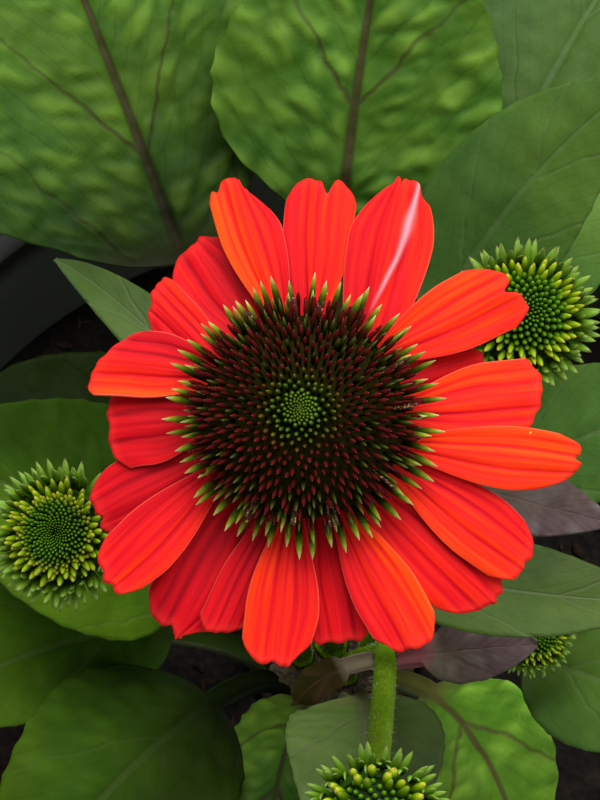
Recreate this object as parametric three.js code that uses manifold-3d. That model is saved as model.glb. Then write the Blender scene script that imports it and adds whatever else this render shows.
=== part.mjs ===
// A coneflower plant in a round nursery pot: one open flower with a spiny dome,
// four unopened buds on their own stems, stem leaves and a rosette of stalked leaves.
// Millimetres, +Z up. The origin is the centre of the pot's flat underside.

import * as THREE from 'three';
import { mergeVertices } from 'three/addons/utils/BufferGeometryUtils.js';
import Module from 'manifold-3d';

const wasm = await Module();
wasm.setup();

// ---------------------------------------------------------------- driving dimensions

const seatGap = 0.3;

const potHeight = 225;
const potBaseRadius = 92;
const potShoulderRadius = 123;
const potRimRadius = 129;
const potWall = 1.8;
const potFloor = 3;
const potSides = 40;
const rimSkirt = 15;
const rimWall = 1.6;
const drainHoles = 8;
const drainRadius = 6;
const drainRing = 74;

const mixHeight = 185;
const mixMound = 1.5;

const crownTop = 190;
const crownRadius = 22;
const crownDepth = 40;
const crownFoot = 9;

const flowerPlace = new THREE.Vector3(-7, -37, 435);
const flowerAxis = new THREE.Vector3(-0.05, -0.26, 0.965).normalize();
const coneBottom = -2.3;
const coneNeck = 12.1;
const coneRadius = 22.8;
const coneTop = 18;
const involucreTop = coneBottom - 0.4;
const involucreDepth = 7.5;
const involucreRadius = 16;
const involucreBracts = 16;

const petalSeat = coneNeck + 0.5;
const petalThickness = 0.55;
const petalBase = 0.24;
const petalWidest = 0.68;
const petalTipWidth = 0.62;
const petalTipRounding = 0.14;
const petalLevelStep = 1.25;
const petalLowest = -1.35;
const petalDroop = [2.6, 1.6, 0.6];
const petalCup = 0.5;

const budRadius = 13;
const budDepth = 8;
const budBracts = 16;
const budDiscRadius = 9.9;
const budDiscTop = 5.8;

const flowerStemRadius = 3.4;
const budStemRadius = 2.6;
const stemSides = 10;
const stemSteps = 14;

const petioleWidth = 4.4;
const petioleThickness = 3;
const bladeThickness = 0.9;
const leafSeatRing = 17;
const bladeFold = 0.12;
const bladeTipWidth = 1.4;
const bladeWidestAt = 0.4;
const leafLinePieces = 60;
const stalkRingSpacing = 22;

// ---------------------------------------------------------------- small helpers

const radians = THREE.MathUtils.degToRad;
const mix = THREE.MathUtils.lerp;
const plant = new THREE.Group();

function material(red, green, blue, roughness) {
  const finish = new THREE.MeshStandardMaterial({ roughness, metalness: 0 });
  finish.color.setRGB(red, green, blue);
  return finish;
}

const petalRed = material(0.94, 0.036, 0.02, 0.55);
const coneDark = material(0.05, 0.018, 0.006, 0.7);
const stemGreen = material(0.09, 0.17, 0.012, 0.55);
const bractGreen = material(0.12, 0.21, 0.012, 0.6);
const budGreen = material(0.04, 0.1, 0.004, 0.65);
const leafGreen = material(0.07, 0.15, 0.02, 0.5);
const leafPurple = material(0.095, 0.071, 0.068, 0.55);
const crownBrown = material(0.08, 0.05, 0.025, 0.85);
const mixBrown = material(0.02, 0.014, 0.01, 0.95);
const potBlack = material(0.0075, 0.0085, 0.007, 0.45);

function add(name, geometry, finish, parent = plant) {
  const piece = new THREE.Mesh(geometry, finish);
  piece.name = name;
  parent.add(piece);
  return piece;
}

function weld(geometry) {
  geometry.deleteAttribute('normal');
  geometry.deleteAttribute('uv');
  return mergeVertices(geometry, 1e-4);
}

function turned(outline, sides) {
  const profile = outline.map(([radius, height]) => new THREE.Vector2(radius, height));
  const geometry = weld(new THREE.LatheGeometry(profile, sides));
  geometry.rotateX(Math.PI / 2);
  return geometry;
}

// The rim of a turned cup is cut into pointed bracts: beyond a radius, every second
// edge vertex is drawn in towards the axis.
function pointed(geometry, sides, fromRadius, notch) {
  const place = geometry.getAttribute('position');
  for (let i = 0; i < place.count; i += 1) {
    const radius = Math.hypot(place.getX(i), place.getY(i));
    const side = Math.round((Math.atan2(place.getY(i), place.getX(i)) / (2 * Math.PI)) * sides);
    if (radius > fromRadius && side % 2 !== 0) {
      const keep = mix(radius, fromRadius, notch) / radius;
      place.setX(i, place.getX(i) * keep);
      place.setY(i, place.getY(i) * keep);
    }
  }
  return geometry;
}

function solid(geometry) {
  return new wasm.Manifold(new wasm.Mesh({
    numProp: 3,
    vertProperties: new Float32Array(geometry.getAttribute('position').array),
    triVerts: new Uint32Array(geometry.index.array),
  }));
}

function fromSolid(shape) {
  const result = shape.getMesh();
  const geometry = new THREE.BufferGeometry();
  geometry.setAttribute('position', new THREE.BufferAttribute(result.vertProperties, 3));
  geometry.setIndex(new THREE.BufferAttribute(result.triVerts, 1));
  return geometry;
}

function standAt(place, axis) {
  const head = new THREE.Group();
  head.position.copy(place);
  head.quaternion.setFromUnitVectors(new THREE.Vector3(0, 0, 1), axis);
  plant.add(head);
  return head;
}

// ---------------------------------------------------------------- pot, mix and crown

function potInside(height) {
  const slope = (potShoulderRadius - potBaseRadius) / potHeight;
  return potBaseRadius - potWall + slope * height;
}

function nurseryPot() {
  const skirtBottom = potHeight - rimSkirt;
  const underLip = potHeight - 4;
  const outline = [
    [0, 0],
    [potBaseRadius - 2, 0],
    [potBaseRadius, 2],
    [potInside(underLip) + potWall, underLip],
    [potRimRadius - rimWall, underLip],
    [potRimRadius - rimWall, skirtBottom],
    [potRimRadius, skirtBottom],
    [potRimRadius, potHeight - 2],
    [potRimRadius - 2, potHeight],
    [potInside(potHeight) + 1, potHeight],
    [potInside(potHeight - 1), potHeight - 1],
    [potInside(potFloor), potFloor],
    [0, potFloor],
  ];
  let cup = solid(turned(outline, potSides));
  for (let i = 0; i < drainHoles; i += 1) {
    const hole = new THREE.CylinderGeometry(drainRadius, drainRadius, 4 * potFloor, 12);
    hole.rotateX(Math.PI / 2);
    hole.translate(drainRing, 0, 0);
    hole.rotateZ((i * 2 * Math.PI) / drainHoles);
    cup = cup.subtract(solid(weld(hole)));
  }
  return fromSolid(cup);
}

function crownOutline(grow) {
  return [
    [crownFoot + grow, crownTop - crownDepth - grow],
    [crownRadius * 0.75 + grow, crownTop - crownDepth * 0.5],
    [crownRadius + grow, crownTop - 6],
  ];
}

function pottingMix() {
  const top = mixHeight + mixMound;
  const [foot, waist, shoulder] = crownOutline(seatGap);
  return turned([
    [0, potFloor + seatGap],
    [potInside(potFloor) - 1.5, potFloor + seatGap],
    [potInside(12) - seatGap - 0.4, 12],
    [potInside(mixHeight) - seatGap - 0.4, mixHeight - 1],
    [potInside(mixHeight) - 6, mixHeight],
    [crownRadius * 2, top],
    [shoulder[0] + 0.5, top],
    shoulder,
    waist,
    foot,
    [0, foot[1]],
  ], potSides);
}

function crown() {
  const [foot, waist, shoulder] = crownOutline(0);
  return turned([
    [0, foot[1]],
    foot,
    waist,
    shoulder,
    [crownRadius, crownTop - 2],
    [crownRadius - 2, crownTop],
    [0, crownTop],
  ], 24);
}

add('nursery_pot', nurseryPot(), potBlack);
add('potting_mix', pottingMix(), mixBrown);
add('crown', crown(), crownBrown);

// ---------------------------------------------------------------- stems

// A stem rises from its seat on the crown through its bends and ends square to the head
// that it carries.
function stemCurve(seat, bends, headBase, axis) {
  const start = new THREE.Vector3(seat[0], seat[1], crownTop + seatGap);
  const collar = new THREE.Vector3(seat[0], seat[1], crownTop + 6);
  const run = bends.map(([x, y, z]) => new THREE.Vector3(x, y, z));
  const neck = headBase.clone().addScaledVector(axis, -8);
  return new THREE.CatmullRomCurve3([start, collar, ...run, neck, headBase], false, 'centripetal');
}

function stemTube(curve, radius) {
  const section = new THREE.Shape();
  for (let i = 0; i < stemSides; i += 1) {
    const turn = (i * 2 * Math.PI) / stemSides;
    const corner = [radius * Math.cos(turn), radius * Math.sin(turn)];
    if (i === 0) {
      section.moveTo(...corner);
    } else {
      section.lineTo(...corner);
    }
  }
  section.closePath();
  const settings = { steps: stemSteps, bevelEnabled: false, extrudePath: curve };
  return weld(new THREE.ExtrudeGeometry(section, settings));
}

function stemAtHeight(curve, height) {
  let low = 0;
  let high = 1;
  for (let i = 0; i < 30; i += 1) {
    const middle = (low + high) / 2;
    if (curve.getPoint(middle).z < height) {
      low = middle;
    } else {
      high = middle;
    }
  }
  return curve.getPoint(low);
}

const flowerStemEnd = flowerPlace.clone()
  .addScaledVector(flowerAxis, involucreTop - involucreDepth - seatGap - 0.1);
const flowerStem = stemCurve([0, 0], [[-1, -6, 240], [-3, -24, 330]], flowerStemEnd, flowerAxis);
add('flower_stem', stemTube(flowerStem, flowerStemRadius), stemGreen);

const budStems = {};

const buds = [
  { name: 'left', place: [-55, -33, 365], axis: [-0.15, -0.3, 0.94], size: 1.08,
    seat: [-7.5, -3], bends: [[-14, -9, 240], [-38, -25, 310]] },
  { name: 'back_right', place: [36, 1, 395], axis: [0.1, -0.25, 0.96], size: 1.03,
    seat: [7.5, 4.5], bends: [[14, 5, 250], [28, 5, 330]] },
  { name: 'front_right', place: [43, -29, 290], axis: [0.2, -0.3, 0.93], size: 0.75,
    seat: [9, -3.5], bends: [[16, -3, 225], [36, -14, 262]] },
  { name: 'front', place: [5, -103, 415], axis: [0, -0.35, 0.94], size: 1.1,
    seat: [3.5, -8], bends: [[10, -20, 245], [10.4, -36, 295], [8, -66, 355]] },
];

function budCup() {
  const outline = [
    [0, -budDepth],
    [3.2, -budDepth],
    [7.5, -5.5],
    [budRadius - 0.5, -2],
    [budRadius, -0.6],
    [budDiscRadius + 0.5, -1.2],
    [budDiscRadius - 0.3, -2.2],
    [0, -2.2],
  ];
  return pointed(turned(outline, 2 * budBracts), 2 * budBracts, budDiscRadius + 0.6, 0.9);
}

function budDisc() {
  return turned([
    [0, -1.9],
    [budDiscRadius - 0.9, -1.9],
    [budDiscRadius, 0],
    [budDiscRadius - 0.5, 2.5],
    [7, budDiscTop - 1.2],
    [3, budDiscTop - 0.2],
    [0, budDiscTop],
  ], 20);
}

for (const bud of buds) {
  const place = new THREE.Vector3(...bud.place);
  const axis = new THREE.Vector3(...bud.axis).normalize();
  const stemEnd = place.clone().addScaledVector(axis, -budDepth * bud.size - seatGap - 0.1);
  const curve = stemCurve(bud.seat, bud.bends, stemEnd, axis);
  const head = standAt(place, axis);
  head.scale.setScalar(bud.size);
  budStems[bud.name] = curve;
  add(`bud_stem_${bud.name}`, stemTube(curve, budStemRadius), stemGreen);
  add(`bud_cup_${bud.name}`, budCup(), bractGreen, head);
  add(`bud_disc_${bud.name}`, budDisc(), budGreen, head);
}

// ---------------------------------------------------------------- open flower

const flower = standAt(flowerPlace, flowerAxis);

function involucre() {
  const bottom = involucreTop - involucreDepth;
  const outline = [
    [0, bottom],
    [4.5, bottom],
    [9, bottom + 2.4],
    [involucreRadius - 0.6, bottom + 2.6],
    [involucreRadius, bottom + 3.6],
    [11.4, involucreTop - 1.6],
    [10.5, involucreTop],
    [0, involucreTop],
  ];
  return pointed(turned(outline, 2 * involucreBracts), 2 * involucreBracts, 10.6, 0.7);
}

function cone() {
  return turned([
    [0, coneBottom],
    [coneNeck - 0.6, coneBottom],
    [coneNeck, coneBottom + 0.8],
    [coneNeck, 3],
    [coneRadius - 1.5, 4],
    [coneRadius, 6],
    [coneRadius - 1.8, 9.5],
    [17, coneTop - 3.4],
    [10.5, coneTop - 0.6],
    [5, coneTop],
    [0, coneTop],
  ], 28);
}

add('involucre', involucre(), bractGreen, flower);
add('cone', cone(), coneDark, flower);

// Each petal (a ray floret) runs from its seat under the cone to its tip. Azimuths are
// degrees round the flower's axis; level 0 lies lowest and level 2 on top.
const petals = [
  { seat: 105, tip: 109, reach: 44.7, width: 12.2, level: 2 },
  { seat: 84, tip: 85, reach: 43.2, width: 12.6, level: 1 },
  { seat: 64.5, tip: 65, reach: 45.6, width: 16.6, level: 2 },
  { seat: 39, tip: 31, reach: 43, width: 12.7, level: 2 },
  { seat: 24, tip: 19, reach: 32.7, width: 11, level: 0 },
  { seat: 9, tip: 7, reach: 40.7, width: 12.2, level: 1 },
  { seat: -7.5, tip: -8, reach: 48, width: 11.5, level: 2 },
  { seat: -29, tip: -33, reach: 46.5, width: 12.5, level: 2 },
  { seat: -44.5, tip: -46, reach: 44.7, width: 12.5, level: 0 },
  { seat: -63.5, tip: -66, reach: 43.8, width: 13.9, level: 2 },
  { seat: -80, tip: -81, reach: 38.7, width: 12, level: 0 },
  { seat: -97, tip: -97.5, reach: 42.5, width: 13.6, level: 2 },
  { seat: -113.5, tip: -112.5, reach: 39.5, width: 11, level: 1 },
  { seat: -127.5, tip: -122, reach: 44, width: 12.5, level: 0 },
  { seat: -144.5, tip: -138.5, reach: 45, width: 13.3, level: 2 },
  { seat: -163, tip: -157.5, reach: 40, width: 12, level: 0 },
  { seat: -183, tip: -181, reach: 35, width: 13, level: 1 },
  { seat: -200, tip: -195, reach: 38.5, width: 11.5, level: 2 },
  { seat: -223, tip: -223, reach: 35, width: 11, level: 1 },
  { seat: -241, tip: -240, reach: 37.5, width: 13, level: 0 },
];

function petalOutline(v) {
  if (v < petalWidest) {
    return petalBase + (1 - petalBase) * Math.sin((Math.PI / 2) * (v / petalWidest)) ** 0.9;
  }
  return 1 - (1 - petalTipWidth) * ((v - petalWidest) / (1 - petalWidest)) ** 2;
}

function petal({ seat, tip, reach, width, level }) {
  const start = new THREE.Vector2(petalSeat, 0).rotateAround(new THREE.Vector2(), radians(seat));
  const end = new THREE.Vector2(reach, 0).rotateAround(new THREE.Vector2(), radians(tip));
  const along = end.clone().sub(start);
  const length = along.length();
  along.normalize();
  const side = new THREE.Vector2(along.y, -along.x);
  const geometry = weld(new THREE.BoxGeometry(1, 1, 1, 4, 6, 1));
  const place = geometry.getAttribute('position');
  for (let i = 0; i < place.count; i += 1) {
    const u = 2 * place.getX(i);
    const v = place.getY(i) + 0.5;
    const run = length * (v - petalTipRounding * Math.abs(u) ** 2.4 * v ** 6);
    const across = (u * width * petalOutline(v)) / 2;
    const bend = petalDroop[level] * v ** 2 + petalCup * (u * v) ** 2;
    const height = petalLowest + level * petalLevelStep - bend;
    place.setXYZ(
      i,
      start.x + along.x * run + side.x * across,
      start.y + along.y * run + side.y * across,
      height + place.getZ(i) * petalThickness,
    );
  }
  return geometry;
}

petals.forEach((shape, index) => {
  const number = String(index + 1).padStart(2, '0');
  add(`petal_${number}`, petal(shape), petalRed, flower);
});

// ---------------------------------------------------------------- leaves

// A leaf is a stalk and its blade in one. Its centre line starts at the seat; heading
// (degrees round +Z) and climb (degrees above level) change evenly from base to tip.
const leaves = [
  { name: 'back_left', seat: 122, heading: [115, 112], climb: [60, 8], stalk: 96, blade: 94,
    width: 66 },
  { name: 'back', seat: 100, heading: [89, 78], climb: [62, 20], stalk: 94, blade: 88, width: 60 },
  { name: 'back_right', seat: 80, heading: [68, 57], climb: [60, 5], stalk: 110, blade: 72,
    width: 44 },
  { name: 'right_high', seat: 60, heading: [87, 27], climb: [86, 30], stalk: 104, blade: 77,
    width: 36 },
  { name: 'right_back', seat: 40, heading: [86, 26], climb: [82, -1], stalk: 90, blade: 69,
    width: 34 },
  { name: 'right', seat: 16, heading: [48, -5], climb: [86, 23], stalk: 60, blade: 74, width: 36 },
  { name: 'right_front', seat: -22, heading: [-38, -31], climb: [86, 12], stalk: 84, blade: 60,
    width: 34 },
  { name: 'front_right', seat: -46, heading: [-32, -80], climb: [84, -11], stalk: 38, blade: 56,
    width: 32 },
  { name: 'front', seat: -78, heading: [-68, -109], climb: [86, 23], stalk: 42, blade: 82,
    width: 36 },
  { name: 'front_low', seat: -103, heading: [-117, -93], climb: [84, -4], stalk: 21, blade: 62,
    width: 26 },
  { name: 'front_left', seat: -138, heading: [-137, -128], climb: [82, -28], stalk: 48, blade: 76,
    width: 50 },
  { name: 'left_high', seat: 180, heading: [180, 163], climb: [86, 16], stalk: 56, blade: 81,
    width: 50 },
  { name: 'left_low', seat: -158, heading: [-185, -142], climb: [72, -24], stalk: 42, blade: 76,
    width: 36 },
  { name: 'left_back', seat: 150, heading: [129, 189], climb: [86, 0], stalk: 52, blade: 72,
    width: 44 },
];

const stemLeaves = [
  { name: 'stem_left', stem: flowerStem, radius: flowerStemRadius, height: 332,
    heading: [133, 134], climb: [60, -40], stalk: 10, blade: 81, width: 14 },
  { name: 'stem_right', stem: flowerStem, radius: flowerStemRadius, height: 335,
    heading: [-28, 1], climb: [26, -4], stalk: 10, blade: 60, width: 21 },
  { name: 'bronze_back', stem: budStems.back_right, radius: budStemRadius, height: 300,
    heading: [-39, -20], climb: [36, 24], stalk: 6, blade: 38, width: 17 },
  { name: 'bronze_right', stem: budStems.front, radius: budStemRadius, height: 300,
    heading: [-8, 7], climb: [48, -8], stalk: 8, blade: 25, width: 15 },
  { name: 'bronze_left', stem: budStems.front, radius: budStemRadius, height: 298,
    heading: [203, 212], climb: [58, -60], stalk: 7, blade: 14, width: 10 },
];

function centreLine(seat, heading, climb, length) {
  const points = [seat.clone()];
  for (let i = 0; i < leafLinePieces; i += 1) {
    const part = (i + 0.5) / leafLinePieces;
    const turn = radians(mix(heading[0], heading[1], part));
    const rise = radians(mix(climb[0], climb[1], part));
    const step = new THREE.Vector3(
      Math.cos(rise) * Math.cos(turn),
      Math.cos(rise) * Math.sin(turn),
      Math.sin(rise),
    );
    points.push(points[i].clone().addScaledVector(step, length / leafLinePieces));
  }
  return new THREE.CatmullRomCurve3(points);
}

// The blade's width along its length, as a share of its greatest width.
function bladeOutline(t) {
  const swell = 1.5 * bladeWidestAt;
  const taper = 1.5 * (1 - bladeWidestAt);
  const peak = bladeWidestAt ** swell * (1 - bladeWidestAt) ** taper;
  return (t ** swell * (1 - t) ** taper) / peak;
}

// Rings are spread evenly over the stalk, then evenly over the blade.
function leaf(seat, seatClimb, { heading, climb, stalk, blade, width }) {
  const stalkRings = Math.max(1, Math.round(stalk / stalkRingSpacing));
  const bladeRings = blade > 50 ? 8 : 5;
  const rings = stalkRings + bladeRings;
  const length = stalk + blade;
  const line = centreLine(seat, heading, climb, length);
  const geometry = weld(new THREE.BoxGeometry(1, 1, 1, 4, rings, 1));
  const place = geometry.getAttribute('position');
  for (let i = 0; i < place.count; i += 1) {
    const u = 2 * place.getX(i);
    const ring = Math.round((place.getY(i) + 0.5) * rings);
    const onBlade = Math.max(0, (ring - stalkRings) / bladeRings);
    const distance = onBlade > 0 ? stalk + blade * onBlade : (stalk * ring) / stalkRings;
    const part = distance / length;
    const turn = radians(mix(heading[0], heading[1], part));
    const rise = radians(ring === 0 ? seatClimb : mix(climb[0], climb[1], part));
    const side = new THREE.Vector3(Math.sin(turn), -Math.cos(turn), 0);
    const up = new THREE.Vector3(
      -Math.cos(turn) * Math.sin(rise),
      -Math.sin(turn) * Math.sin(rise),
      Math.cos(rise),
    );
    const slim = Math.min(petioleWidth, width / 4);
    const half = Math.max(mix(slim, bladeTipWidth, onBlade), width * bladeOutline(onBlade)) / 2;
    const stalkThickness = Math.min(petioleThickness, width / 6);
    const thick = mix(stalkThickness, bladeThickness, Math.min(1, 3 * onBlade));
    const fold = bladeFold * Math.abs(u) * half;
    const point = line.getPoint(part)
      .addScaledVector(side, u * half)
      .addScaledVector(up, fold + place.getZ(i) * thick);
    place.setXYZ(i, point.x, point.y, point.z);
  }
  return geometry;
}

for (const shape of leaves) {
  const turn = radians(shape.seat);
  const seat = new THREE.Vector3(
    leafSeatRing * Math.cos(turn),
    leafSeatRing * Math.sin(turn),
    crownTop + seatGap,
  );
  add(`leaf_${shape.name}`, leaf(seat, 90, shape), leafGreen);
}

for (const shape of stemLeaves) {
  const turn = radians(shape.heading[0]);
  const away = shape.radius + seatGap;
  const seat = stemAtHeight(shape.stem, shape.height)
    .add(new THREE.Vector3(away * Math.cos(turn), away * Math.sin(turn), 0));
  const finish = shape.name.startsWith('bronze') ? leafPurple : leafGreen;
  add(`leaf_${shape.name}`, leaf(seat, 0, shape), finish);
}

export default plant;
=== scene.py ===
import bpy, bmesh, math, random
from mathutils import Matrix, Vector, noise


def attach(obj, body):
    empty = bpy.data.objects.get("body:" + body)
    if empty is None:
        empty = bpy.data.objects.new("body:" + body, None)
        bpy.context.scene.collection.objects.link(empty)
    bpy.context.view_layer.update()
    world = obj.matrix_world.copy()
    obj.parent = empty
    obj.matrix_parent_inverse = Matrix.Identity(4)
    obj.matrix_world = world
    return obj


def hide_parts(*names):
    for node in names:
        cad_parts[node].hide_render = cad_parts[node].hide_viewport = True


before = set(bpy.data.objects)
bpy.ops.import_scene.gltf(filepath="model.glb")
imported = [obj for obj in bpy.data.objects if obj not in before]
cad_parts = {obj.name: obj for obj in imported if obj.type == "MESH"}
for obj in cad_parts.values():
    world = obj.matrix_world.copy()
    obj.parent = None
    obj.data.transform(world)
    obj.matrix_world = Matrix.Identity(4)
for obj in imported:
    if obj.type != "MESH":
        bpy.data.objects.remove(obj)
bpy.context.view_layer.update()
scene = bpy.context.scene
mm = 0.001
fullTurn = 2 * math.pi
goldenTurn = math.radians(137.50776)

# camera in mm and degrees; lamps: name, place in metres, size in metres, power in watts, colour
view = {"place": (-7.87, -239.8, 946.25), "tilt": 22, "lens": 142.2, "sensor": 36, "near": 0.02, "far": 20}
light = {
    "aim": Vector((0, 0, 0.35)), "room": (0.93, 0.97, 1.0), "roomStrength": 0.32,
    "lamps": (
        ("overhead", (0.1, 0.62, 2.1), 1.9, 61, (1.0, 1.0, 1.0)),
        ("side", (1.6, -0.9, 1.5), 1.2, 7, (1.0, 0.98, 0.95)),
    ),
}

eye = bpy.data.objects.new("eye", bpy.data.cameras.new("eye"))
eye.location = Vector(view["place"]) * mm
eye.rotation_euler = (math.radians(view["tilt"]), 0, 0)
eye.data.lens = view["lens"]
eye.data.sensor_width = view["sensor"]
eye.data.clip_start, eye.data.clip_end = view["near"], view["far"]
scene.collection.objects.link(eye)
scene.camera = eye
scene.view_settings.view_transform = "Standard"
for name, place, size, power, colour in light["lamps"]:
    lamp = bpy.data.objects.new(name, bpy.data.lights.new(name, "AREA"))
    lamp.data.shape = "DISK"
    lamp.data.size = size
    lamp.data.energy = power
    lamp.data.color = colour
    lamp.location = place
    lamp.rotation_euler = (light["aim"] - Vector(place)).to_track_quat("-Z", "Y").to_euler()
    scene.collection.objects.link(lamp)
scene.world = bpy.data.worlds.new("room")
scene.world.use_nodes = True
room = scene.world.node_tree.nodes["Background"]
room.inputs["Color"].default_value = (*light["room"], 1)
room.inputs["Strength"].default_value = light["roomStrength"]
print("camera and lights set")


# Material helpers. A Wire is a node's output; arithmetic with it adds Math nodes.
class Wire:
    def __init__(self, socket):
        self.socket = socket
        self.tree = socket.id_data

    def calc(self, operation, *values):
        return output(self.tree, "ShaderNodeMath", dict(enumerate(values)), operation=operation)

    def __add__(self, other):
        return self.calc("ADD", self, other)

    def __sub__(self, other):
        return self.calc("SUBTRACT", self, other)

    def __rsub__(self, other):
        return self.calc("SUBTRACT", other, self)

    def __mul__(self, other):
        return self.calc("MULTIPLY", self, other)

    def __truediv__(self, other):
        return self.calc("DIVIDE", self, other)

    def __pow__(self, other):
        return self.calc("POWER", self, other)

    def __abs__(self):
        return self.calc("ABSOLUTE", self)

    def limited(self):  # kept between 0 and 1
        self.socket.node.use_clamp = True
        return self


def addNode(tree, kind, inputs=None, **settings):
    node = tree.nodes.new(kind)
    for key, value in settings.items():
        setattr(node, key, value)
    for key, value in (inputs or {}).items():
        if isinstance(value, Wire):
            tree.links.new(value.socket, node.inputs[key])
        else:
            node.inputs[key].default_value = value
    return node


def output(tree, kind, inputs=None, slot=0, **settings):
    return Wire(addNode(tree, kind, inputs, **settings).outputs[slot])


def rgba(colour):
    return colour if isinstance(colour, Wire) else (*colour, 1)


def mixColour(share, first, second):
    tree = next(value.tree for value in (share, first, second) if isinstance(value, Wire))
    return output(tree, "ShaderNodeMix", {0: share, 6: rgba(first), 7: rgba(second)}, 2, data_type="RGBA")


def ramp(value, stops):
    node = addNode(value.tree, "ShaderNodeValToRGB", {0: value})
    band = node.color_ramp.elements
    while len(band) < len(stops):
        band.new(0.5)
    for element, (place, colour) in zip(band, stops):
        element.position = place
        element.color = (*colour, 1)
    return Wire(node.outputs[0])


def stepUp(value, low, high):
    inputs = {"Value": value, "From Min": low, "From Max": high}
    return output(value.tree, "ShaderNodeMapRange", inputs, interpolation_type="SMOOTHSTEP")


def attribute(tree, name):
    return output(tree, "ShaderNodeAttribute", slot="Fac", attribute_name=name)


def objectPlace(tree):
    return output(tree, "ShaderNodeTexCoord", slot="Object")


def noiseValue(vector, scale, detail=3.0, roughness=0.55):
    inputs = {"Vector": vector, "Scale": scale, "Detail": detail, "Roughness": roughness}
    return output(vector.tree, "ShaderNodeTexNoise", inputs)


def cells(vector, scale):
    return output(vector.tree, "ShaderNodeTexVoronoi", {"Vector": vector, "Scale": scale}, "Distance")


def stretch(vector, *scale):
    return output(vector.tree, "ShaderNodeMapping", {"Vector": vector, "Scale": scale})


def combine(x, y, z=0.0):
    return output(x.tree, "ShaderNodeCombineXYZ", {0: x, 1: y, 2: z})


def separate(vector):
    return [Wire(socket) for socket in addNode(vector.tree, "ShaderNodeSeparateXYZ", {0: vector}).outputs]


def shade(colour, value):
    return output(colour.tree, "ShaderNodeHueSaturation", {"Color": colour, "Value": value})


def newGroup(name, inputs, outputs):
    tree = bpy.data.node_groups.new(name, "ShaderNodeTree")
    for side, sockets in (("INPUT", inputs), ("OUTPUT", outputs)):
        for label, kind in sockets:
            tree.interface.new_socket(label, in_out=side, socket_type="NodeSocket" + kind)
    given, results = tree.nodes.new("NodeGroupInput"), tree.nodes.new("NodeGroupOutput")
    return tree, [Wire(given.outputs[label]) for label, kind in inputs], results


def useGroup(tree, group, inputs):
    return [Wire(socket) for socket in addNode(tree, "ShaderNodeGroup", inputs, node_tree=group).outputs]


def finish(name, roughness=0.5, specular=0.5):
    material = bpy.data.materials.new(name)
    material.use_nodes = True
    tree = material.node_tree
    shader = tree.nodes["Principled BSDF"]
    shader.inputs["Roughness"].default_value = roughness
    shader.inputs["Specular IOR Level"].default_value = specular
    return material, tree, shader


def paint(shader, colour, height=None, depth=0.0002, strength=1.0, roughness=None):
    tree = shader.id_data
    tree.links.new(colour.socket, shader.inputs["Base Color"])
    if height is not None:
        raised = addNode(tree, "ShaderNodeBump", {"Height": height, "Distance": depth, "Strength": strength})
        tree.links.new(raised.outputs[0], shader.inputs["Normal"])
    if roughness is not None:
        tree.links.new(roughness.socket, shader.inputs["Roughness"])


# Uneven tone of living tissue: a slow and a fine noise, as a multiplier about 1 and as a height.
mottle, (place, scale, amount), results = newGroup(
    "mottle",
    [("Vector", "Vector"), ("Scale", "Float"), ("Amount", "Float")],
    [("Tone", "Float"), ("Height", "Float")],
)
slow, fine = noiseValue(place, scale, 2.0), noiseValue(place, scale * 6.0, 3.0)
uneven = (slow * 1.3 + fine * 0.7 - 1.0) * amount + 1.0
mottle.links.new(uneven.socket, results.inputs["Tone"])
mottle.links.new(fine.socket, results.inputs["Height"])


def mottled(tree, scale, amount):
    return useGroup(tree, mottle, {"Vector": objectPlace(tree), "Scale": scale, "Amount": amount})


# Veins of a blade in mm: a midrib, a few strong veins that fork from it and weaker ones between.
veinLines = {
    "swayScale": 0.09, "sway": 9.0, "strong": (0.2, 1.7), "thinShare": 0.2, "thin": (0.1, 1.0), "rib": (0.35, 1.3),
}
veinage, (across, along, spacing, slope, ribHalf), results = newGroup(
    "veinage",
    [("Across", "Float"), ("Along", "Float"), ("Spacing", "Float"), ("Slope", "Float"), ("Rib", "Float")],
    [("Vein", "Float"), ("Minor", "Float")],
)


def lineEvery(value, gap, low, high):
    part = value.calc("FRACT", value / gap + 20.5)
    return 1.0 - stepUp(abs(part - 0.5) * gap, low, high)


off = abs(across)
sway = (noiseValue(combine(across, along), veinLines["swayScale"], 2.0) - 0.5) * veinLines["sway"]
reach = along - off * slope + sway
fading = 1.0 - stepUp(off, 3.0, 30.0) * 0.6
strong = lineEvery(reach, spacing, *veinLines["strong"]) * fading * 0.7
thin = lineEvery(reach, spacing * veinLines["thinShare"], *veinLines["thin"])
rib = 1.0 - stepUp(off / ribHalf, *veinLines["rib"])
veinage.links.new(strong.calc("MAXIMUM", strong, rib).socket, results.inputs["Vein"])
veinage.links.new(thin.socket, results.inputs["Minor"])


# Mesh helpers: they work in mm, and newPiece turns a bmesh into a piece in metres.
def newPiece(name, bm, materials, nodes, matrix=None):
    if matrix is not None:
        bmesh.ops.transform(bm, matrix=matrix, verts=bm.verts)
    bmesh.ops.scale(bm, vec=(mm, mm, mm), verts=bm.verts)
    mesh = bpy.data.meshes.new(name)
    bm.to_mesh(mesh)
    bm.free()
    for material in materials:
        mesh.materials.append(material)
    mesh.shade_smooth()
    piece = bpy.data.objects.new(name, mesh)
    scene.collection.objects.link(piece)
    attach(piece, "root")
    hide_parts(*nodes)
    return piece


def thicken(piece, thickness, groupName=""):
    shell = piece.modifiers.new("thickness", "SOLIDIFY")
    shell.thickness = thickness * mm
    shell.offset = -1
    shell.material_offset = 1
    shell.vertex_group = groupName


def gridSheet(acrossCount, alongCount):
    bm = bmesh.new()
    bmesh.ops.create_grid(bm, x_segments=acrossCount, y_segments=alongCount, size=0.5)
    return bm


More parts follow.
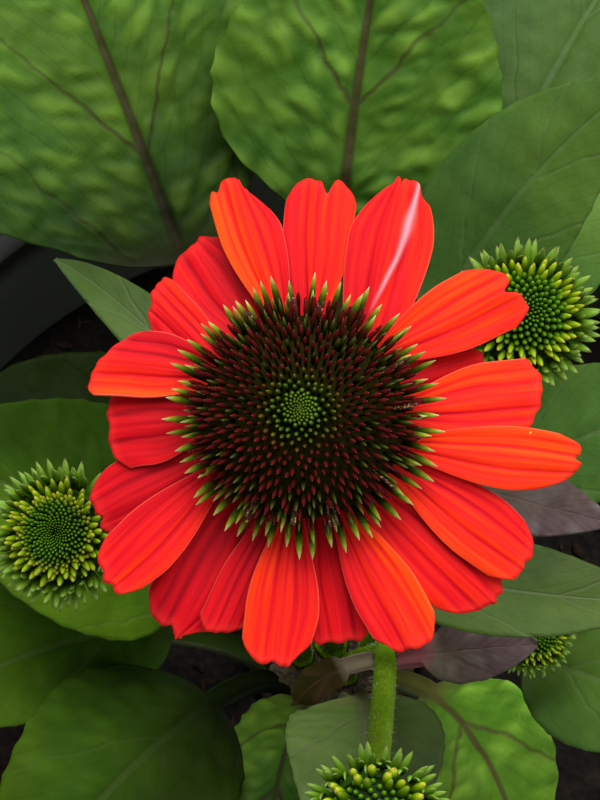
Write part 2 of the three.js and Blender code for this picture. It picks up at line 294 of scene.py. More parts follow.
# The same shape in a new bmesh, so that whatever is added next comes last in its lists.
def fresh(bm):
    mesh = bpy.data.meshes.new("fresh")
    bm.to_mesh(mesh)
    bm.free()
    again = bmesh.new()
    again.from_mesh(mesh)
    bpy.data.meshes.remove(mesh)
    return again


def addLayers(bm, *names):
    return {name: bm.verts.layers.float.new(name) for name in names}


def lathe(outline, sides):
    bm = bmesh.new()
    verts = [bm.verts.new((radius, 0, height)) for radius, height in outline]
    edges = [bm.edges.new(pair) for pair in zip(verts, verts[1:])]
    bmesh.ops.spin(
        bm, geom=verts + edges, axis=(0, 0, 1), cent=(0, 0, 0), angle=fullTurn, steps=sides, use_merge=True
    )
    bmesh.ops.remove_doubles(bm, verts=bm.verts, dist=1e-4)
    bmesh.ops.recalc_face_normals(bm, faces=bm.faces)
    return fresh(bm)


# A closed round rod of unit length and radius along Z, with rings between its ends.
def unitRod(sides, rings):
    bm = bmesh.new()
    bmesh.ops.create_cone(bm, cap_ends=True, segments=sides, radius1=1, radius2=1, depth=1)
    upright = [edge for edge in bm.edges if abs(edge.verts[0].co.z - edge.verts[1].co.z) > 0.5]
    bmesh.ops.subdivide_edges(bm, edges=upright, cuts=rings - 1)
    return bm


def rodTemplate(sides, rings):
    bm = unitRod(sides, rings)
    bmesh.ops.translate(bm, vec=(0, 0, 0.5), verts=bm.verts)
    mesh = bpy.data.meshes.new("rod")
    bm.to_mesh(mesh)
    bm.free()
    return mesh


def valueAt(profile, place):
    for (t0, r0), (t1, r1) in zip(profile, profile[1:]):
        if place <= t1:
            return r0 + (r1 - r0) * (place - t0) / (t1 - t0)
    return profile[-1][1]


# Adds one rod to bm from base to tip, swept by lift, with a radius profile; flatness thins it.
# A value of None stands for the share of the length.
def addRod(bm, template, base, tip, width, profile, lift=Vector((0, 0, 0)), flatness=1.0, values=None):
    bm.from_mesh(template)
    bm.verts.ensure_lookup_table()
    axis = (tip - base).normalized()
    side = axis.cross(Vector((0, 0, 1)))
    if side.length < 1e-3:
        side = axis.cross(Vector((0, 1, 0)))
    side.normalize()
    front = side.cross(axis)
    layers = [(bm.verts.layers.float[key], value) for key, value in (values or {}).items()]
    for vert in bm.verts[-len(template.vertices):]:
        part = vert.co.z
        radius = valueAt(profile, part) * width
        vert.co = (
            base + (tip - base) * part + lift * (4 * part * (1 - part))
            + side * (vert.co.x * radius) + front * (vert.co.y * radius * flatness)
        )
        for layer, value in layers:
            vert[layer] = part if value is None else value


def bell(value, centre, width):
    return math.exp(-(((value - centre) / width) ** 2))


def blend(first, second, part):
    return first + (second - first) * part


def partWay(value, start, length):  # how far value lies beyond start, from 0 to 1
    return min(1, max(0, (value - start) / length))


def around(turn, radius=1.0, height=0.0):
    return Vector((math.cos(turn) * radius, math.sin(turn) * radius, height))


def upBy(height):
    return Vector((0, 0, height))


def jitter(size):
    return random.uniform(-size, size)


def standAt(place, axis, size=1.0):
    turn = Vector((0, 0, 1)).rotation_difference(Vector(axis).normalized())
    return Matrix.Translation(place) @ turn.to_matrix().to_4x4() @ Matrix.Scale(size, 4)


# Petals. A shape gives the seat and tip azimuths, reach, width, level, tip notches (place across, depth,
# half-width), skew of the tip, share of the width kept at the tip on either side, warmth with painted shading
# (at the middle, darker for shaded petals, and its change across, which paints one side lit) and twist.
petals = {
    "seatRadius": 12.6, "lowest": -1.35, "levelStep": 1.25, "droop": (2.6, 1.6, 0.6), "cup": 0.5,
    "base": 0.24, "broadBases": {3: 0.56, 9: 0.42, 11: 0.42, 13: 0.4, 14: 0.5}, "widest": 0.7, "swell": 1.8,
    "taper": 1.32, "taperPower": 1.4, "narrowest": 0.05, "raised": {4: 0.5, 7: 0.5, 18: 0.3},
    "rounding": 0.15, "corners": {3: (0.15, 0.05), 6: (0.1, 0.15)}, "cornerPower": 3.6, "skewPower": 2.4,
    "notchFrom": 0.72, "ragged": 0.8, "bow": 0.5, "ripple": 0.16, "uneven": 0.45, "paleFoot": 0.22,
    "thickness": 0.4, "acrossCount": 48, "alongCount": 36,
    "furrows": ((-0.37, 0.05, 1.0), (0.31, 0.05, 1.0), (-0.66, 0.04, 0.5), (-0.05, 0.04, 0.5), (0.62, 0.04, 0.55)),
    "furrowDepth": 0.2,
    # the petal whose right third lies lower, behind a pale turned-up fold
    "folded": 3, "foldLine": ((0.3, -0.18), (0.45, 0.06), (0.6, 0.24), (0.8, 0.36), (0.9, 0.48), (1, 0.62)),
    "foldDrop": 0.9, "foldShorter": 1.7, "foldWidths": (0.05, 0.1),
    "curled": 18, "curl": 0.9, "curlFrom": 0.75,  # the petal whose lower edge curls up
    "shapes": (
        (102, 105.9, 44.4, 11.1, 2, ((-0.62, 1.3, 0.12),), -1.8, (1.05, 0.4), (0.76, -0.26), -0.3),
        (84.5, 86, 43.1, 12.4, 1, ((0.16, 2.6, 0.12),), -0.15, (1.0, 1.05), (0.62, 0.12), 0.1),
        (36, 67.8, 45.9, 15.0, 2, ((0.0, 0.9, 0.08),), -0.22, (0.36, 0.76), (0.6, 0.08), 0.2),
        (44.5, 32, 43.4, 12.9, 2, ((0.0, 2.0, 0.12),), 1.7, (1.05, 1.0), (0.76, -0.1), -0.2),
        (24, 19.5, 32.6, 12, 0, (), 0, (0.9, 0.9), (0.44, 0.0), 0),
        (4, 5.9, 41.4, 13.2, 1, ((0.55, 0.5, 0.2),), -0.7, (1.05, 1.0), (0.74, -0.12), 0.2),
        (-19.5, -10.4, 48.3, 11.2, 2, ((-0.27, 1.3, 0.12),), -1.5, (0.86, 0.74), (0.82, -0.1), -0.15),
        (-24, -33, 46.3, 12.5, 1, ((-0.4, 0.7, 0.15), (0.1, 0.5, 0.12)), 0.1, (0.76, 0.96), (0.66, 0.2), 0.3),
        (-48.5, -45.5, 45.1, 14.0, 0, ((-0.45, 0.6, 0.18),), -1.8, (0.74, 1.05), (0.58, 0.05), 0),
        (-71.5, -64.9, 44.1, 11.8, 2, ((0.35, 0.4, 0.2),), -0.5, (1.05, 0.86), (0.68, -0.24), -0.25),
        (-81, -81, 39.2, 12.9, 0, ((0.3, 0.5, 0.2),), 0, (1.0, 1.0), (0.42, 0.0), 0),
        (-98.6, -97.2, 42.8, 12.8, 2, ((0.12, 0.35, 0.14), (-0.32, 0.3, 0.14)), 0.06, (0.7, 1.05), (0.7, 0.12), 0.15),
        (-103.5, -111.4, 39.4, 10.0, 1, (), 3.0, (1.05, 1.05), (0.3, 0.12), 0.45),
        (-131, -121.6, 43.8, 16.6, 0, ((0.2, 1.2, 0.12),), -0.4, (0.36, 0.96), (0.33, -0.1), 0),
        (-155.5, -140.6, 44.8, 11.7, 2, ((0.35, 0.5, 0.15), (-0.3, 0.3, 0.13)), -0.8, (0.7, 1.05), (0.58, -0.16), -0.3),
        (-163, -157.2, 40.2, 13.4, 0, ((-0.2, 0.8, 0.15),), -0.6, (0.9, 0.93), (0.32, 0.06), 0),
        (-183, -179.2, 34.8, 14.8, 1, ((0.1, 0.4, 0.2),), 0.4, (1.05, 0.85), (0.34, -0.06), -0.1),
        (-217, -197.7, 37.3, 12.1, 2, ((0.5, 0.3, 0.2),), -3.9, (1.1, 1.05), (0.58, -0.34), -0.35),
        (-209, -219.3, 35, 9.6, 1, (), 3.0, (1.05, 1.05), (0.5, 0.14), 0.2),
        (-239.4, -238.2, 37.8, 14.2, 0, ((0.2, 0.5, 0.2),), 1.4, (1.05, 0.58), (0.38, -0.12), 0),
    ),
}
petalLook = {
    "face": (
        (0.0, (0.28, 0.0, 0.005)), (0.2, (0.43, 0.001, 0.007)), (0.45, (0.62, 0.003, 0.008)),
        (0.7, (0.78, 0.018, 0.003)), (1.0, (0.9, 0.064, 0.0)),
    ),
    "back": ((0.0, (0.42, 0.02, 0.02)), (0.5, (0.75, 0.09, 0.06)), (1.0, (0.86, 0.2, 0.1))),
    # faceEdgeHighlight and backEdge: a painted highlight on the thin margins, where they catch the light
    "faceEdgeHighlight": (0.95, 0.16, 0.09), "backEdge": (0.8, 0.3, 0.2), "tip": (0.7, 0.03, 0.022),
    "pollen": (0.85, 0.42, 0.05), "fold": (0.84, 0.3, 0.34), "strips": (12.0, 1.4), "streaks": (56.0, 5.0),
}


def petalFinish(name, stops, edge, edgeHighlightShare):
    material, tree, shader = finish(name, 0.6, 0.1)
    u, v, _ = separate(output(tree, "ShaderNodeUVMap", uv_map="petalMap"))
    seed = attribute(tree, "seed")
    strip, streak = (
        noiseValue(combine(u * petalLook[key][0], v * petalLook[key][1], seed), 1.0, detail)
        for key, detail in (("strips", 2.0), ("streaks", 3.0))
    )
    # warmthAndShading holds the petal's own hue with painted light and shade: one side painted lit, shaded petals
    # painted darker
    tone = attribute(tree, "warmthAndShading") + (strip - 0.5) * 0.75 + (streak - 0.5) * 0.16
    colour = ramp((tone - attribute(tree, "furrow") * 0.3).limited(), stops)
    colour = mixColour(stepUp(v, 0.9, 1.0) * 0.35, colour, petalLook["tip"])
    spot = objectPlace(tree)
    pollen = (1.0 - stepUp(cells(spot, 330.0), 0.05, 0.1)) * stepUp(noiseValue(spot, 120.0, 1.0), 0.66, 0.7)
    colour = mixColour(pollen * 0.8, colour, petalLook["pollen"])
    # painted highlight along the margins of the petal
    colour = mixColour(stepUp(abs(u - 0.5), 0.478, 0.5) * edgeHighlightShare, colour, edge)
    colour = mixColour(attribute(tree, "pale"), colour, petalLook["fold"])
    paint(shader, colour, streak, 0.00012, 0.5)
    return material


petalFace = petalFinish("petalFace", petalLook["face"], petalLook["faceEdgeHighlight"], 0.5)
petalBack = petalFinish("petalBack", petalLook["back"], petalLook["backEdge"], 0.4)


def petalWidth(part, base, tipShare):
    if part < petals["widest"]:
        return blend(base, 1, math.sin(math.pi / 2 * max(0, part) / petals["widest"]) ** petals["swell"])
    beyond = (part - petals["widest"]) / (1 - petals["widest"])
    return max(petals["narrowest"], 1 - petals["taper"] * (1 - tipShare) * beyond ** petals["taperPower"])


def turned(radius, degrees):
    spot = Vector((radius, 0, 0))
    spot.rotate(Matrix.Rotation(math.radians(degrees), 3, "Z"))
    return spot


def wobble(size, *place):
    return size * noise.noise(Vector(place))


def buildPetal(number, shape, headMatrix):
    seat, tip, reach, width, level, notches, skew, tipShare, warmthAndShading, twist = shape
    start, end = turned(petals["seatRadius"], seat), turned(reach, tip)
    length = (end - start).length
    forward = (end - start).normalized()
    side = Vector((forward.y, -forward.x, 0))
    base = petals["broadBases"].get(number, petals["base"])
    corners = petals["corners"].get(number, (petals["rounding"], petals["rounding"]))
    level0 = petals["lowest"] + level * petals["levelStep"]
    bm = gridSheet(petals["acrossCount"], petals["alongCount"])
    uvLayer = bm.loops.layers.uv.new("petalMap")
    layers = addLayers(bm, "warmthAndShading", "furrow", "pale", "seed")
    for face in bm.faces:
        for loop in face.loops:
            loop[uvLayer].uv = (loop.vert.co.x + 0.5, loop.vert.co.y + 0.5)
    for vert in bm.verts:
        u, v = 2 * vert.co.x, vert.co.y + 0.5  # across from -1 to 1, along from 0 to 1
        part = v - corners[u > 0] * abs(u) ** petals["cornerPower"] * v ** petals["cornerPower"]
        run = length * part + skew * u * v ** petals["skewPower"]
        lobes = sum(depth * bell(u, place, half) for place, depth, half in notches)
        run -= lobes * max(0, (v - petals["notchFrom"]) / (1 - petals["notchFrom"])) ** 2
        run += wobble(petals["ragged"], u * 3.2, number * 7.3, 0) * v ** 3
        half = width * petalWidth(part, base, tipShare[u > 0]) / 2
        bow = wobble(petals["bow"], v * 2.1, number * 3.7, 5) * v
        fade = min(1, v / 0.18) * min(1, (1.06 - v) / 0.1)
        furrow = sum(
            size * bell(u, place + wobble(0.05, v * 2, place * 9, number), spread)
            for place, spread, size in petals["furrows"]
        ) * fade
        height = level0 + petals["raised"].get(number, 0) * v
        height -= petals["droop"][level] * v ** 2 + petals["cup"] * (u * v) ** 2
        height -= petals["furrowDepth"] * furrow
        height += petals["ripple"] * math.cos(2.2 * math.pi * u) * fade + twist * u * v
        height += wobble(petals["uneven"], u * 1.3, v * 2.2, number * 5.1) * v
        pale = 0.0
        if number == petals["folded"]:
            foldPlace = valueAt(petals["foldLine"], v)
            step = 1 / (1 + math.exp(-(u - foldPlace - 0.08) / 0.03))
            height -= petals["foldDrop"] * step * min(1, v * 1.6)
            run -= petals["foldShorter"] * step * v ** 10
            pale = bell(u, foldPlace, blend(*petals["foldWidths"], bell(v, 0.8, 0.1))) * partWay(v, 0.3, 0.2)
        if number == petals["curled"]:
            height += petals["curl"] * max(0, (-u - petals["curlFrom"]) / (1 - petals["curlFrom"])) ** 2 * v
        # painted light on one side and painted shade on the other, over the petal's own warmth; paleFoot deepens the
        # red towards the foot, partly its own crimson base and partly painted shade by the dome
        vert[layers["warmthAndShading"]] = warmthAndShading[0] + warmthAndShading[1] * u - petals["paleFoot"] * (1 - v) ** 2.2
        vert[layers["furrow"]] = min(1, furrow)
        vert[layers["pale"]] = pale
        vert[layers["seed"]] = number * 11.7
        spot = start + forward * run + side * (u * half + bow)
        vert.co = (spot.x, spot.y, height)
    name = f"petal{number:02d}"
    piece = newPiece(name, bm, [petalFace, petalBack], [f"petal_{number:02d}"], headMatrix)
    thicken(piece, petals["thickness"])


flower = {"place": Vector((-7, -37, 435)), "axis": (-0.05, -0.26, 0.965)}
flowerMatrix = standAt(flower["place"], flower["axis"])
for index, shape in enumerate(petals["shapes"]):
    buildPetal(index + 1, shape, flowerMatrix)
print("petals built")

# The spiny dome: spines on a golden spiral, small green knobs in its middle, longer spines at its rim.
dome = {
    "profile": ((0, 18.0), (5, 17.9), (10.5, 17.0), (14, 15.4), (17, 13.2), (19.5, 10.6), (21.5, 8.0), (23.6, 5.4)),
    "spacing": ((0, 0.62), (2.6, 0.74), (3.9, 1.05), (5.2, 1.45), (8, 1.68), (12, 1.8), (20, 1.88), (24, 1.95)),
    "edge": 22.4, "span": 24, "shift": (235, 0.7), "floor": 1.0, "width": 0.44, "fill": 0.42,
    "middle": 4.0, "knobs": 6.4, "youngTo": 8.2, "youngFade": 3.4, "outerFrom": 20.4,
    "rim": ((26, 22.5, 0.58), (54, 24.6, 0.72)),  # count, radius and half-width of the bright outer spines
    "anthers": (93, 79, 2, -40, -74, -92, -119, 121, 25), "antherWidth": 0.34, "antherRing": (18.4, 20.2),
    "heart": (
        (0, 1.5), (11.4, 1.5), (12.2, 3.2), (15.4, 4.0), (17.6, 5.2), (17.2, 7.4), (15, 10), (12, 12.3), (8, 14.0),
        (4, 15.0), (0, 15.3),
    ),
}
# radius along a rod, as a share of its half-width
spineProfile = ((0, 0.5), (0.45, 0.62), (0.7, 1.0), (0.86, 0.8), (0.96, 0.34), (1, 0.05))
rimProfile = ((0, 0.6), (0.4, 1.0), (0.7, 0.85), (0.9, 0.45), (1, 0.05))
budProfile = ((0, 0.8), (0.45, 1.0), (0.8, 0.95), (1, 0.35))
bractProfile = ((0, 0.62), (0.25, 0.95), (0.45, 1.0), (0.7, 0.72), (0.88, 0.34), (1, 0.05))
rayProfile = ((0, 0.7), (0.4, 1.0), (0.7, 0.86), (0.9, 0.5), (1, 0.12))

coneSpine, tree, shader = finish("coneSpine", 0.6, 0.03)
part = attribute(tree, "part")
redSpine = ramp(part, (
    (0.0, (0.01, 0.006, 0.0)), (0.45, (0.018, 0.011, 0.001)), (0.62, (0.034, 0.007, 0.002)),
    (0.82, (0.078, 0.002, 0.004)), (0.95, (0.06, 0.003, 0.004)), (1.0, (0.2, 0.07, 0.05)),
))
greenSpine = ramp(part, (
    (0.0, (0.006, 0.005, 0.0)), (0.4, (0.016, 0.018, 0.0)), (0.62, (0.052, 0.07, 0.002)),
    (0.8, (0.17, 0.2, 0.01)), (0.93, (0.37, 0.37, 0.09)), (1.0, (0.62, 0.52, 0.3)),
))
youngSpine = ramp(part, (
    (0.0, (0.008, 0.022, 0.0)), (0.5, (0.016, 0.044, 0.0)), (0.86, (0.048, 0.104, 0.002)), (1.0, (0.105, 0.165, 0.02)),
))
colour = mixColour(attribute(tree, "green"), redSpine, greenSpine)
colour = mixColour(attribute(tree, "young"), colour, youngSpine)
tone, grain = mottled(tree, 260.0, 0.5)
paint(shader, shade(colour, tone * attribute(tree, "lit")), grain, 0.0001, 0.5)

# The heart fills the gaps under the spines; its near-black colour is painted shade deep among them.
coneHeartShade, tree, shader = finish("coneHeartShade", 0.8, 0.04)
tone, grain = mottled(tree, 300.0, 0.8)
paint(shader, mixColour(grain, (0.009, 0.008, 0.0), (0.02, 0.016, 0.001)), grain, 0.0003)

antherBrown, tree, shader = finish("antherBrown", 0.6, 0.3)
dust = stepUp(noiseValue(objectPlace(tree), 2600.0, 1.0), 0.58, 0.68)
paint(shader, mixColour(dust, (0.03, 0.008, 0.004), (0.4, 0.2, 0.05)))


# Radii for a golden spiral whose neighbours stand a given gap apart at each radius.
def spread(limit, spacing):
    radii, radius, filled, step = [], 0.0, 0.0, 0.004
    while radius < limit:
        gap = valueAt(spacing, radius)
        filled += fullTurn * radius * step / (0.866 * gap * gap)
        radius += step
        if filled >= len(radii) + 0.5:
            radii.append(radius)
    return radii


def domePoint(radius, turn, part=1.0):
    low = dome["floor"]
    return around(turn, radius * part, low + (valueAt(dome["profile"], radius) - low) * part)


def shiftAt(turn):
    return dome["shift"][1] * max(0, math.cos(turn - math.radians(dome["shift"][0])))


random.seed(11)
bm = lathe(dome["heart"], 40)
addLayers(bm, "part", "green", "young", "lit")
for face in bm.faces:
    face.material_index = 1
spineRod, knobRod = rodTemplate(6, 6), rodTemplate(5, 4)
spineRadii = spread(dome["edge"], dome["spacing"])
for index, radius in enumerate(spineRadii):
    turn = index * goldenTurn + jitter(0.03)
    isGreen = random.random() < blend(0.02, 0.28, max(0, radius - 9) / 11)
    green = 1.0 if isGreen else random.uniform(0, 0.012)
    reach = radius + jitter(0.4) - partWay(radius, dome["outerFrom"], 1.0) - shiftAt(turn) * radius / dome["span"]
    width = min(dome["width"], dome["fill"] * valueAt(dome["spacing"], radius)) * random.uniform(0.9, 1.1)
    bright = random.uniform(0.55, 1.25)
    rod, profile, flatness = spineRod, spineProfile, 0.9
    if isGreen:
        bright = blend(0.05, 0.26, max(0, radius - 8) / 12)
        profile, flatness = rimProfile, 0.8
    if radius < dome["knobs"]:
        rod, profile, flatness = knobRod, budProfile, 1.0
        if radius < dome["middle"]:  # the youngest lean in over the middle
            reach = max(0.1, radius - 0.8)
            bright = blend(0.45, 1.0, min(1, radius / 2.2))
        else:
            bright, width = 0.75, min(width, dome["fill"])
    lift = upBy(0.4 + 0.6 * radius / dome["span"])
    base = domePoint(radius, turn, blend(0.9, 0.7, radius / 23)) - upBy(1.2)
    tip = domePoint(max(0, reach), turn)
    tip.z += jitter(0.25) - 0.9 * bell(radius, 0, 1.3)
    young = partWay(-radius, -dome["youngTo"], dome["youngFade"])
    values = {"part": None, "green": green, "young": young, "lit": bright}
    addRod(bm, rod, base, tip, width, profile, lift, flatness, values)
for count, radius, width in dome["rim"]:
    for index in range(count):
        turn = (index + jitter(0.32)) * fullTurn / count
        spot = radius + random.uniform(-1.3, 0.7) - shiftAt(turn)
        base = domePoint(spot - 1.0, turn, 0.72) - upBy(1.0)
        tip = domePoint(spot, turn + jitter(0.03)) + upBy(jitter(0.6))
        values = {"part": None, "green": 1.0, "young": 0.0, "lit": random.uniform(0.7, 1.2)}
        addRod(bm, spineRod, base, tip, width * random.uniform(0.85, 1.15), rimProfile, upBy(0.8), 0.7, values)
for degrees in dome["anthers"]:
    for _ in range(2):
        turn = math.radians(degrees + jitter(2.4))
        radius = random.uniform(*dome["antherRing"])
        base = domePoint(radius, turn, 0.8)
        tip = domePoint(radius + random.uniform(0, 1.2), turn + jitter(0.03)) + upBy(random.uniform(0.2, 1.0))
        first = len(bm.faces)
        values = {"part": 0.3, "green": 0, "young": 0, "lit": 1}
        addRod(bm, spineRod, base, tip, dome["antherWidth"], ((0, 0.8), (0.6, 1), (1, 0.8)), values=values)
        bm.faces.ensure_lookup_table()
        for face in bm.faces[first:]:
            face.material_index = 2
newPiece("spinyDome", bm, [coneSpine, coneHeartShade, antherBrown], ["cone"], flowerMatrix)
print("dome built,", len(spineRadii), "spines")

# Bracts under the flower.
bractGreen, tree, shader = finish("bractGreen", 0.6, 0.1)
colour = ramp(attribute(tree, "part"), (
    (0.0, (0.02, 0.06, 0.0)), (0.2, (0.045, 0.12, 0.003)), (0.5, (0.12, 0.24, 0.01)), (0.84, (0.22, 0.36, 0.06)),
    (0.95, (0.14, 0.12, 0.04)), (1.0, (0.05, 0.035, 0.02)),
))
tone, grain = mottled(tree, 180.0, 0.5)
paint(shader, shade(colour, tone), grain, 0.0001, 0.6)

involucre = {
    "cup": ((0, -10.1), (4.2, -10.1), (6.5, -8.6), (9.5, -6.4), (11.2, -4.2), (10.4, -2.8), (0, -2.8)),
    # count, turn, reach, height and width of the bracts
    "rows": ((16, 0.0, 15.6, -6.6, 2.1), (16, 0.5, 13.6, -8.2, 2.0), (12, 0.25, 10.5, -9.6, 1.8)),
}
bm = lathe(involucre["cup"], 32)
addLayers(bm, "part")
bractRod = rodTemplate(6, 6)
random.seed(5)
for count, shift, reach, height, width in involucre["rows"]:
    for index in range(count):
        out = around((index + shift) * fullTurn / count + jitter(0.06))
        base = out * (reach * 0.5) + upBy(height + 2.0)
        tip = out * (reach + random.uniform(-0.4, 0.3)) + upBy(height + jitter(0.6))
        addRod(bm, bractRod, base, tip, width, bractProfile, upBy(0.7), 0.3, {"part": None})
newPiece("flowerBracts", bm, [bractGreen], ["involucre"], flowerMatrix)

# Flower buds: a cup of bracts, a disc of knobs and a ring of pale ray buds.
budDisc, tree, shader = finish("budDisc", 0.6, 0.1)
part = attribute(tree, "part")
knobs = ramp(part, (
    (0.0, (0.004, 0.016, 0.0)), (0.5, (0.009, 0.04, 0.0)), (0.85, (0.036, 0.11, 0.0)), (1.0, (0.095, 0.21, 0.004)),
))
rays = ramp(part, (
    (0.0, (0.025, 0.075, 0.0)), (0.5, (0.1, 0.19, 0.0)), (0.78, (0.26, 0.38, 0.002)), (0.95, (0.44, 0.47, 0.04)),
    (1.0, (0.36, 0.1, 0.03)),
))
tone, grain = mottled(tree, 260.0, 0.7)
paint(shader, shade(mixColour(attribute(tree, "ray"), knobs, rays), tone), grain, 0.0001, 0.5)

buds = {
    "knobSpacing": ((0, 0.6), (2.0, 0.8), (3.5, 1.15), (8, 1.4)), "knobEdge": 7.3, "hollowSpan": 2.4,
    "rayRings": ((20, 7.1, 3.9), (22, 8.1, 3.4), (22, 9.0, 2.6)), "innerRing": 8, "innerPale": 0.25,
    "rows": (  # count, turn, radius and height of the tips, width, radius and height of the bases
        (24, 0.0, 14.3, -2.6, 0.86, 7.4, -4.2), (24, 0.5, 14.1, -0.9, 0.82, 8.0, -3.0),
        (24, 0.25, 13.0, 0.9, 0.8, 8.6, -2.2), (22, 0.6, 11.7, 2.3, 0.74, 9.1, -1.6),
        (22, 0.1, 10.7, 3.0, 0.66, 9.2, -1.4),
    ),
    "discProfile": ((0, 5.6), (2, 5.5), (4, 4.9), (6, 3.7), (7.6, 2.0), (8.6, 0.4)),
    "cup": ((0, -7.9), (3, -7.9), (5.5, -6.6), (7.7, -4.4), (8.5, -2.6), (8.0, -1.7), (0, -1.7)), "sides": 28,
    # name, place, axis, size, size of the knobs, hollow of the disc, size of the ray buds, their paleness,
    # radius from which the knobs are pale too
    "heads": (
        ("left", (-55, -33, 365), (-0.15, -0.3, 0.94), 1.08, 0.68, 1.6, 1.0, 0.8, 5.4),
        ("back_right", (35.0, 0.5, 395), (0.1, -0.25, 0.96), 1.1, 1.0, 0, 1.0, 0.8, 9),
        ("front_right", (43, -29, 290), (0.2, -0.3, 0.93), 0.75, 1.0, 0, 1.0, 0.8, 9),
        ("front", (5, -104, 415), (0, -0.48, 0.88), 1.07, 1.0, 0, 1.5, 1.0, 9),
    ),
}


def camel(*words):
    first, *others = "_".join(words).split("_")
    return first + "".join(word.capitalize() for word in others)


for name, place, axis, size, grain, hollow, raySize, rayPale, paleFrom in buds["heads"]:
    headMatrix = standAt(Vector(place), axis, size)
    random.seed(len(name) * 7 + 3)
    spreadOut, drawnIn = 1 + 0.2 * (raySize - 1), 1 - 0.12 * (raySize - 1)
    bm = lathe(buds["cup"], buds["sides"])
    addLayers(bm, "part")
    for count, shift, reach, height, width, inner, low in buds["rows"]:
        for index in range(count):
            out = around((index + shift) * fullTurn / count + jitter(0.1))
            base = out * inner + upBy(low)
            tip = out * (drawnIn * reach + random.uniform(-0.9, 0.1)) + upBy(height + random.uniform(-0.8, 0.6))
            tip += Vector((-out.y, out.x, 0)) * jitter(0.5)
            lift = out * 0.4 - upBy(0.3)
            addRod(bm, bractRod, base, tip, width * drawnIn ** 3, bractProfile, lift, 0.45, {"part": None})
    newPiece(camel("bud_bracts", name), bm, [bractGreen], ["bud_cup_" + name], headMatrix)
    disc = [(0, -0.8), (7.4, -0.8), (8.0, 0.2), (7.0, 1.2), (5.4, 2.5), (3.4, 3.5 - 0.3 * hollow), (0, 4.1 - hollow)]
    bm = lathe(disc, buds["sides"])
    addLayers(bm, "part", "ray")
    spacing = [(radius, gap * grain) for radius, gap in buds["knobSpacing"]]
    for index, radius in enumerate(spread(buds["knobEdge"] * spreadOut, spacing)):
        out = around(index * goldenTurn + jitter(0.05))
        top = valueAt(buds["discProfile"], radius) - hollow * bell(radius, 0, buds["hollowSpan"])
        base = out * (radius * 0.84) + upBy(top - 2.2)
        tip = out * (radius + 0.2) + upBy(top + random.uniform(-0.15, 0.2))
        width = 0.45 * grain * valueAt(buds["knobSpacing"], radius)
        values = {"part": None, "ray": rayPale * partWay(radius, paleFrom, 1)}
        addRod(bm, knobRod, base, tip, width, budProfile, values=values)
    for count, ring, high in buds["rayRings"]:
        count = round(count / raySize)
        ring *= spreadOut
        dimmed = raySize > 1 and ring < buds["innerRing"]
        values = {"part": None, "ray": rayPale * (buds["innerPale"] if dimmed else 1)}
        for index in range(count):
            out = around((index + 1.5 * ring + jitter(0.25)) * fullTurn / count)
            base = out * (ring - 1.9) + upBy(high - 3.0)
            tip = out * (ring + random.uniform(0.3, 1.3)) + upBy(high + random.uniform(-0.6, 0.5))
            width = random.uniform(0.54, 0.72) * raySize ** 0.7
            addRod(bm, spineRod, base, tip, width, rayProfile, values=values)
    newPiece(camel("bud_disc", name), bm, [budDisc], ["bud_disc_" + name], headMatrix)
print("buds built")

# Stems: ribbed and hairy, on curves from the crown to the heads.
stemGreen, tree, shader = finish("stemGreen", 0.55, 0.1)
spot = objectPlace(tree)
tone, _ = mottled(tree, 60.0, 0.5)
fibre = noiseValue(stretch(spot, 1400.0, 1400.0, 40.0), 1.0, 2.0)
colour = mixColour(stepUp(fibre, 0.35, 0.75), (0.095, 0.195, 0.0), (0.16, 0.28, 0.0))
colour = mixColour(stepUp(noiseValue(spot, 45.0, 2.0), 0.56, 0.75) * 0.25, colour, (0.09, 0.03, 0.02))
colour = mixColour(attribute(tree, "hair"), colour, (0.5, 0.55, 0.35))
paint(shader, shade(colour, tone), fibre, 0.00015, 0.6)

stems = {
    "sides": 14, "rings": 54, "ribs": 5, "ribDepth": 0.05, "top": 190.3, "collar": 196, "neck": 8,
    "footFlare": (0.35, 0.06), "neckFlare": (0.25, 0.07), "wide": 0.97, "taper": 0.1,
    "hairs": 420, "hairWidth": 0.07, "hairLengths": (0.35, 0.8), "hairPaleness": 0.7,
    # node, seat, bends between crown and head, place and axis of the head, drop to the stem's end, radius
    "routes": (
        ("flower_stem", (0, 0), ((-1, -6, 240), (-3, -24, 330)), (-7, -37, 435), (-0.05, -0.26, 0.965), 10.6, 3.4),
        ("bud_stem_left", (-7.5, -3), ((-14, -9, 240), (-38, -25, 310)),
         (-55, -33, 365), (-0.15, -0.3, 0.94), 9.04, 2.6),
        ("bud_stem_back_right", (7.5, 4.5), ((14, 5, 250), (28, 5, 330)), (36, 1, 395), (0.1, -0.25, 0.96), 8.64, 2.6),
        ("bud_stem_front_right", (9, -3.5), ((16, -3, 225), (36, -14, 262)),
         (43, -29, 290), (0.2, -0.3, 0.93), 6.4, 2.6),
        ("bud_stem_front", (3.5, -8), ((10, -20, 245), (10.4, -36, 295), (8, -66, 355)),
         (5, -103, 415), (0, -0.35, 0.94), 9.2, 2.6),
    ),
}


